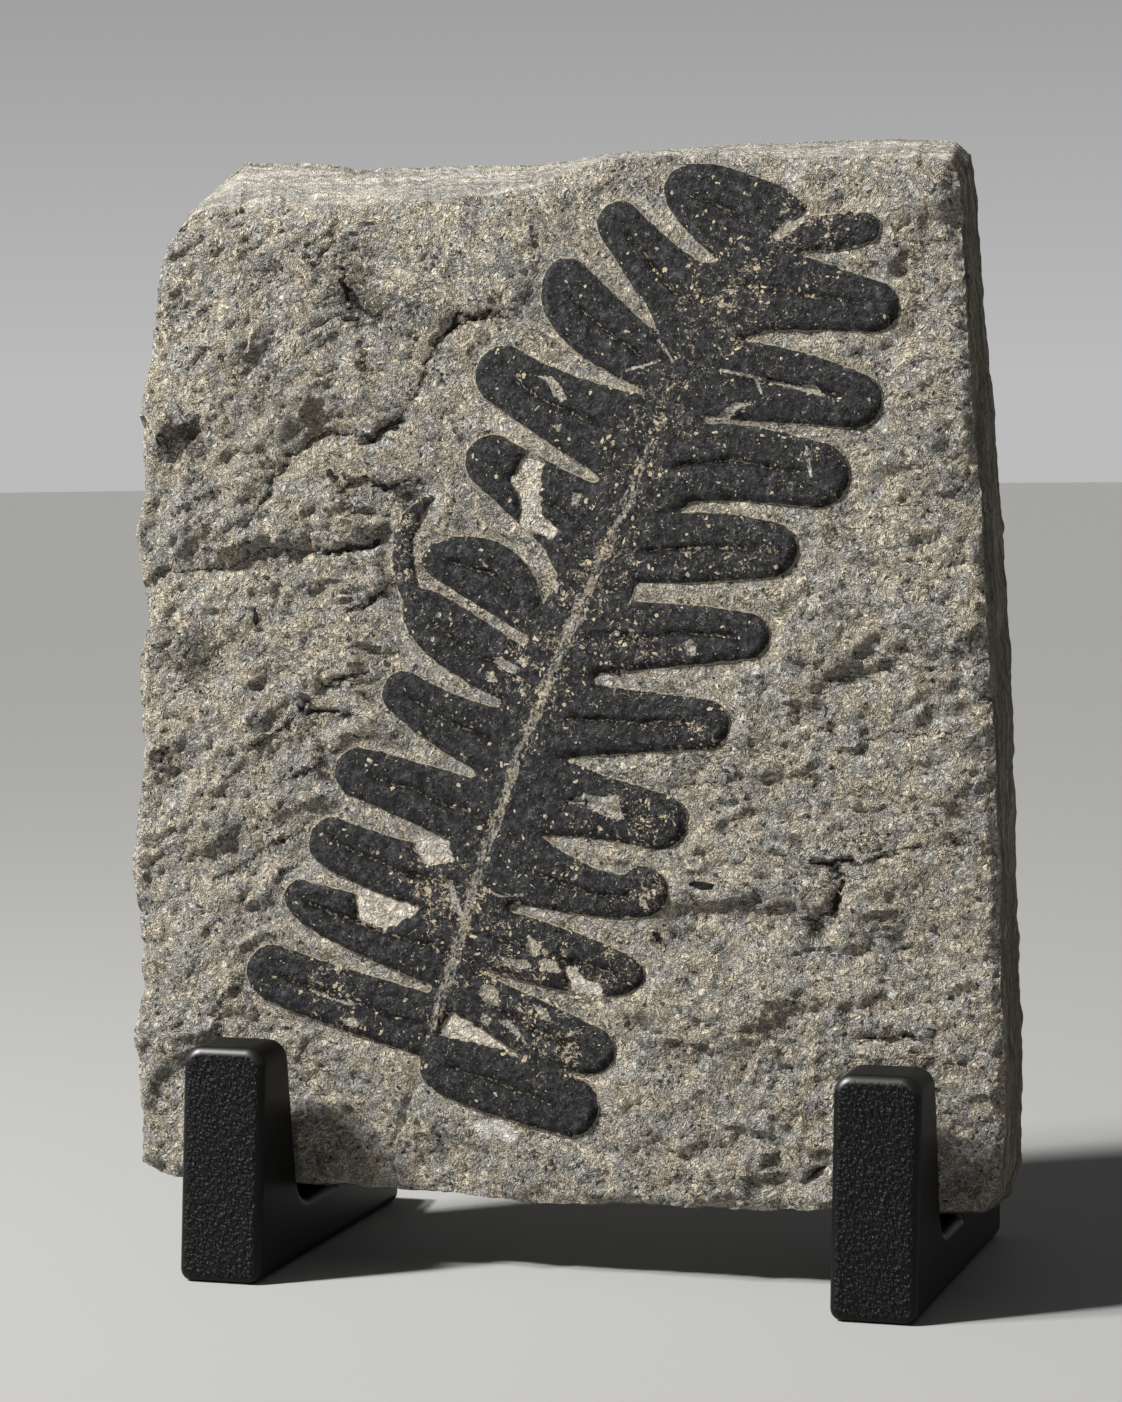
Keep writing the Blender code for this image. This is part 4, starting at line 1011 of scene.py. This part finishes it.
def stone_finish():
    finish = Finish("speckled_stone")
    colour, height, at = stone_colour(finish)
    ledge_shade, seam, cleft_shade, stain_and_shade_spots, chip, side, edge, fresh = finish.values(
        "ledge_shade", "seam", "cleft_shade", "stain_and_shade_spots", "chip", "side", "edge", "fresh")
    blotch = finish.noise(at, 0.9, 3.0, 0.65)
    patchy = blotch - 0.5
    # Clean stone where the film has flaked away, and dark stains, which also paint shade into the hollows.
    clean = colour.shade(1.85).under(0.55, (0.60, 0.55, 0.47))
    colour = colour.under(fresh * blotch.step(0.30, 0.45) * 0.9, clean)
    stain_and_shade_mask = (stain_and_shade_spots * 0.8 + patchy * 2.6).step(0.35, 0.6) * stain_and_shade_spots.step(0.05, 0.3)
    colour = colour.under(stain_and_shade_mask * 0.85, colour.shade(0.25))
    # A thin line of painted shade follows the foot of every ledge as its crack, broken here and there, and
    # painted shadow darkens the stone just below the ledge.
    line = (seam + patchy * 2.4).thread(-0.3, 0.06, 0.30) * (ledge_shade * 1.2 + patchy).step(0.25, 0.45)
    below = -1 * seam
    colour = colour.under(below.step(-0.3, 0.4) * below.fade(0.5, 2.4) * ledge_shade * 0.18, (0.060, 0.050, 0.036))
    # Hackly cracks wander over the rest as flat, short lines of painted shade, and the clefts are painted
    # black inside as shade.
    strata = at.vector("MULTIPLY", (0.05, 0.12, 0.12))
    hackle_shade = (finish.noise(strata, 1.0, 5.0, 0.62).thread(0.5, 0.003, 0.016)
              * (finish.noise(strata, 0.55, 2.0).step(0.47, 0.58) * (1 - side)))
    opening = (cleft_shade + patchy * 0.9).step(0.50, 0.72)
    colour = colour.under(line.most(hackle_shade * 0.8).most(opening) * 0.88, (0.012, 0.010, 0.008))
    # The worn arris is paler, as chipped stone and as a painted highlight along the edge; one chip is white
    # and slivers of leaf are black.
    pale = edge.fade(0.2, 1.3) * blotch.step(0.42, 0.6) * (1 - side)
    colour = colour.under(pale * 0.45, (0.52, 0.49, 0.44))
    colour = colour.under((chip + patchy * 0.5).step(0.42, 0.6), finish.mix(0.8, colour, (0.62, 0.60, 0.56)))
    colour = colour.under((-1 * chip + patchy * 0.5).step(0.35, 0.5), (0.018, 0.019, 0.021))
    # Bedding shows as bands on the broken sides: a darker copy of the bands is painted shade on the sides,
    # and a paler copy with a little added brightness is painted light where they face up.
    layers = finish.noise(at.vector("MULTIPLY", (0.05, 0.75, 0.05)), 1.0, 3.0, 0.7)
    upward = finish.facing((0, 0, 1)).step(0.3, 0.8)
    shaded_bands = layers.ramp((0.36, (0.040, 0.035, 0.025)), (0.5, (0.125, 0.113, 0.082)),
                         (0.62, (0.27, 0.245, 0.19)))
    lit_bands = layers.ramp((0.38, (0.12, 0.123, 0.125)), (0.5, (0.30, 0.291, 0.272)),
                         (0.60, (0.56, 0.525, 0.465)))
    colour = colour.under(side * (0.80 - upward * 0.32), finish.mix(upward, shaded_bands, lit_bands))
    return finish.set(height * (1 - side * 0.45) + layers * side * 1.8, Roughness=0.95,
                      Base_Color=colour.shade(1 + side * upward * 0.12), Specular_IOR_Level=0.2)


def film_finish():
    finish = Finish("carbon_film")
    stone, stone_grain, at = stone_colour(finish)
    wear, bare, stalk, midrib_and_shade, depth, across, along = finish.values(
        "wear", "bare", "stalk", "midrib_and_shade", "depth", "across", "along")
    ragged = finish.noise(at, 1.3, 4.0, 0.65)
    # Stone shows through as dots, lace and scratches where the film is worn.
    worn_here = wear * (0.30 + finish.noise(at, 0.28, 3.0, 0.6).step(0.40, 0.62) * 1.3)
    dot, lots, _ = finish.cells(at.warp(1.8, 0.7), 0.95)
    dots = (worn_here * 0.75 - lots[0]).step(-0.02, 0.02) * (dot - lots[1] ** 3.0 * 0.36).fade(0.12, 0.19)
    lace = (ragged + worn_here * 0.10).step(0.675, 0.695) * worn_here.step(0.20, 0.6)
    scratches = (finish.noise(at, 0.55, 3.0, 0.6).thread(0.5, 0.005, 0.016)
                 * (ragged + worn_here * 0.25).step(0.60, 0.66))
    flecks = dots.most(lace * 0.8).most(scratches * 0.9)
    # The rachis is laid bare in long fibres, and the rim of the film has a pale lip.
    strands = finish.node("ShaderNodeCombineXYZ", {}, {0: across, 1: along * 0.22, 2: 0.0})
    fibres = finish.noise(strands.warp(0.8, 1.2), 1.3, 4.0, 0.7)
    strip = (stalk * 0.55 + (fibres - 0.5) * 2.2 + (ragged - 0.5) * 1.6).step(0.38, 0.56)
    gone = (bare + (ragged - 0.5) * 1.3).step(0.47, 0.53)
    lip = depth.fade(0.12, 0.34) * ragged.step(0.36, 0.50)
    worn = flecks.most(strip * 0.85).most(gone)
    at_rest = finish.place()
    mottle, pores = finish.noise(at_rest, 0.50, 5.0, 0.75), finish.noise(at_rest, 1.6, 2.0, 0.7)
    wisps = finish.noise(at, 0.30, 4.0, 0.7).thread(0.5, 0.0, 0.045)
    film = mottle.ramp((0.34, (0.011, 0.011, 0.0117)), (0.50, (0.028, 0.028, 0.0295)),
                       (0.66, (0.072, 0.072, 0.076)))
    # Each crease gets painted shade, with a broken tan midrib in it.
    film = film.shade(0.55 + pores.step(0.3, 0.7) * 0.8 + wisps * 0.5).shade(1 - midrib_and_shade.step(0.25, 0.75) * 0.6)
    film = film.under(midrib_and_shade.step(0.74, 0.86) * ragged.step(0.50, 0.58) * 0.6, (0.34, 0.26, 0.17))
    pale = stone.shade(0.92 + gone * 0.30).under((flecks * 0.9).most(lip) * (1 - gone), (0.60, 0.50, 0.35))
    return finish.set(mottle * 2.0 + stone_grain * (0.16 + bare.step(0.4, 0.6) * 0.7),
                      Base_Color=film.under(worn.most(lip * 0.7), pale),
                      Roughness=0.50 + worn * 0.40, Specular_IOR_Level=0.11)


def holder_finish():
    """Black, with a leather-like grain on the front."""
    finish = Finish("grained_black")
    hide = finish.place((0, math.radians(35), 0)).vector("MULTIPLY", (1.0, 1.0, 0.55)).warp(1.1, 0.8)
    pores, creases = finish.cells(hide, 1.8)[0], finish.noise(hide, 2.0, 2.0, 0.6)
    forward, upward = finish.facing((0, -1, 0)), finish.facing((0, 0, 1))
    # Handling has polished the rounded top edge of the front.
    polished = upward.step(0.12, 0.35) * upward.fade(0.80, 0.97) * forward.step(0.2, 0.5)
    return finish.set((pores * 0.42 + creases * 0.52) * (0.02 + 0.98 * forward.step(0.85, 0.98)),
                      Base_Color=(0.0035, 0.0035, 0.0037), Roughness=0.42 + creases * 0.06,
                      Coat_Weight=polished, Coat_Roughness=0.42, Specular_IOR_Level=0.18)


# --- The studio

def build_floor():
    shape = bmesh.new()
    bmesh.ops.create_circle(shape, cap_ends=True, segments=96, radius=6.0)
    floor = smooth_piece("floor", shape)
    floor.data.materials.append(Finish("pale_floor").set(
        Base_Color=(0.36, 0.36, 0.355), Roughness=0.85, Specular_IOR_Level=0.2))


def add_lights():
    """A sun-like studio lamp from the upper left, a nearer lamp beside it, and a dim pale room."""
    sun, lamp = bpy.data.lights.new("key", "SUN"), bpy.data.lights.new("near", "AREA")
    sun.energy, sun.angle = 4.4, math.radians(5)
    lamp.energy, lamp.shape, lamp.size = 6.0, "DISK", 0.10
    for light in (sun, lamp):
        light.color = (1.0, 0.99, 0.965)
        shining = link(light.name, light)
        shining.location = LAMP_AIM + TO_LIGHT * LAMP_DISTANCE
        shining.rotation_euler = TO_LIGHT.to_track_quat("Z", "Y").to_euler()
    world = bpy.data.worlds.new("studio")
    world.use_nodes = True
    new, join = world.node_tree.nodes.new, world.node_tree.links.new
    place, height, ramp = (new("ShaderNode" + kind) for kind in ("TexCoord", "SeparateXYZ", "ValToRGB"))
    join(place.outputs["Generated"], height.inputs[0])
    join(height.outputs["Z"], ramp.inputs[0])
    set_stops(ramp.color_ramp, [(at, (grey, grey, grey * 1.01)) for at, grey in ROOM_GREYS])
    join(ramp.outputs[0], world.node_tree.nodes["Background"].inputs["Color"])
    bpy.context.scene.world = world
    bpy.context.scene.view_settings.view_transform = "Standard"


def add_camera():
    """The camera stands to the right of the slab's face and looks slightly down."""
    lens = bpy.data.cameras.new("camera")
    lens.sensor_width, lens.lens = SENSOR, SENSOR * FOCAL_LENGTH / PICTURE_HEIGHT
    lens.clip_start, lens.clip_end = 0.05, 30
    turn, down, roll = (math.radians(angle) for angle in CAMERA_ANGLES)
    turned = (Matrix.Rotation(turn, 4, "Z") @ Matrix.Rotation(math.pi / 2 - down, 4, "X")
              @ Matrix.Rotation(roll, 4, "Z"))
    camera = link("camera", lens)
    camera.matrix_world = Matrix.Translation(Vector(CAMERA_PLACE) * MM + Vector(STAND_CORNER)) @ turned
    bpy.context.scene.camera = camera


# --- Put together

def put(piece, material, node):
    piece.data.materials.append(material)
    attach(piece, "root")
    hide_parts(node)


put(build_stone(), stone_finish(), "stone_slab")
put(build_film(), film_finish(), "fern_frond")
black = holder_finish()
put(build_holder("holder_left", 0.0), black, "left_holder")
put(build_holder("holder_right", HOLDER_SPACING), black, "right_holder")
build_floor()
add_lights()
add_camera()
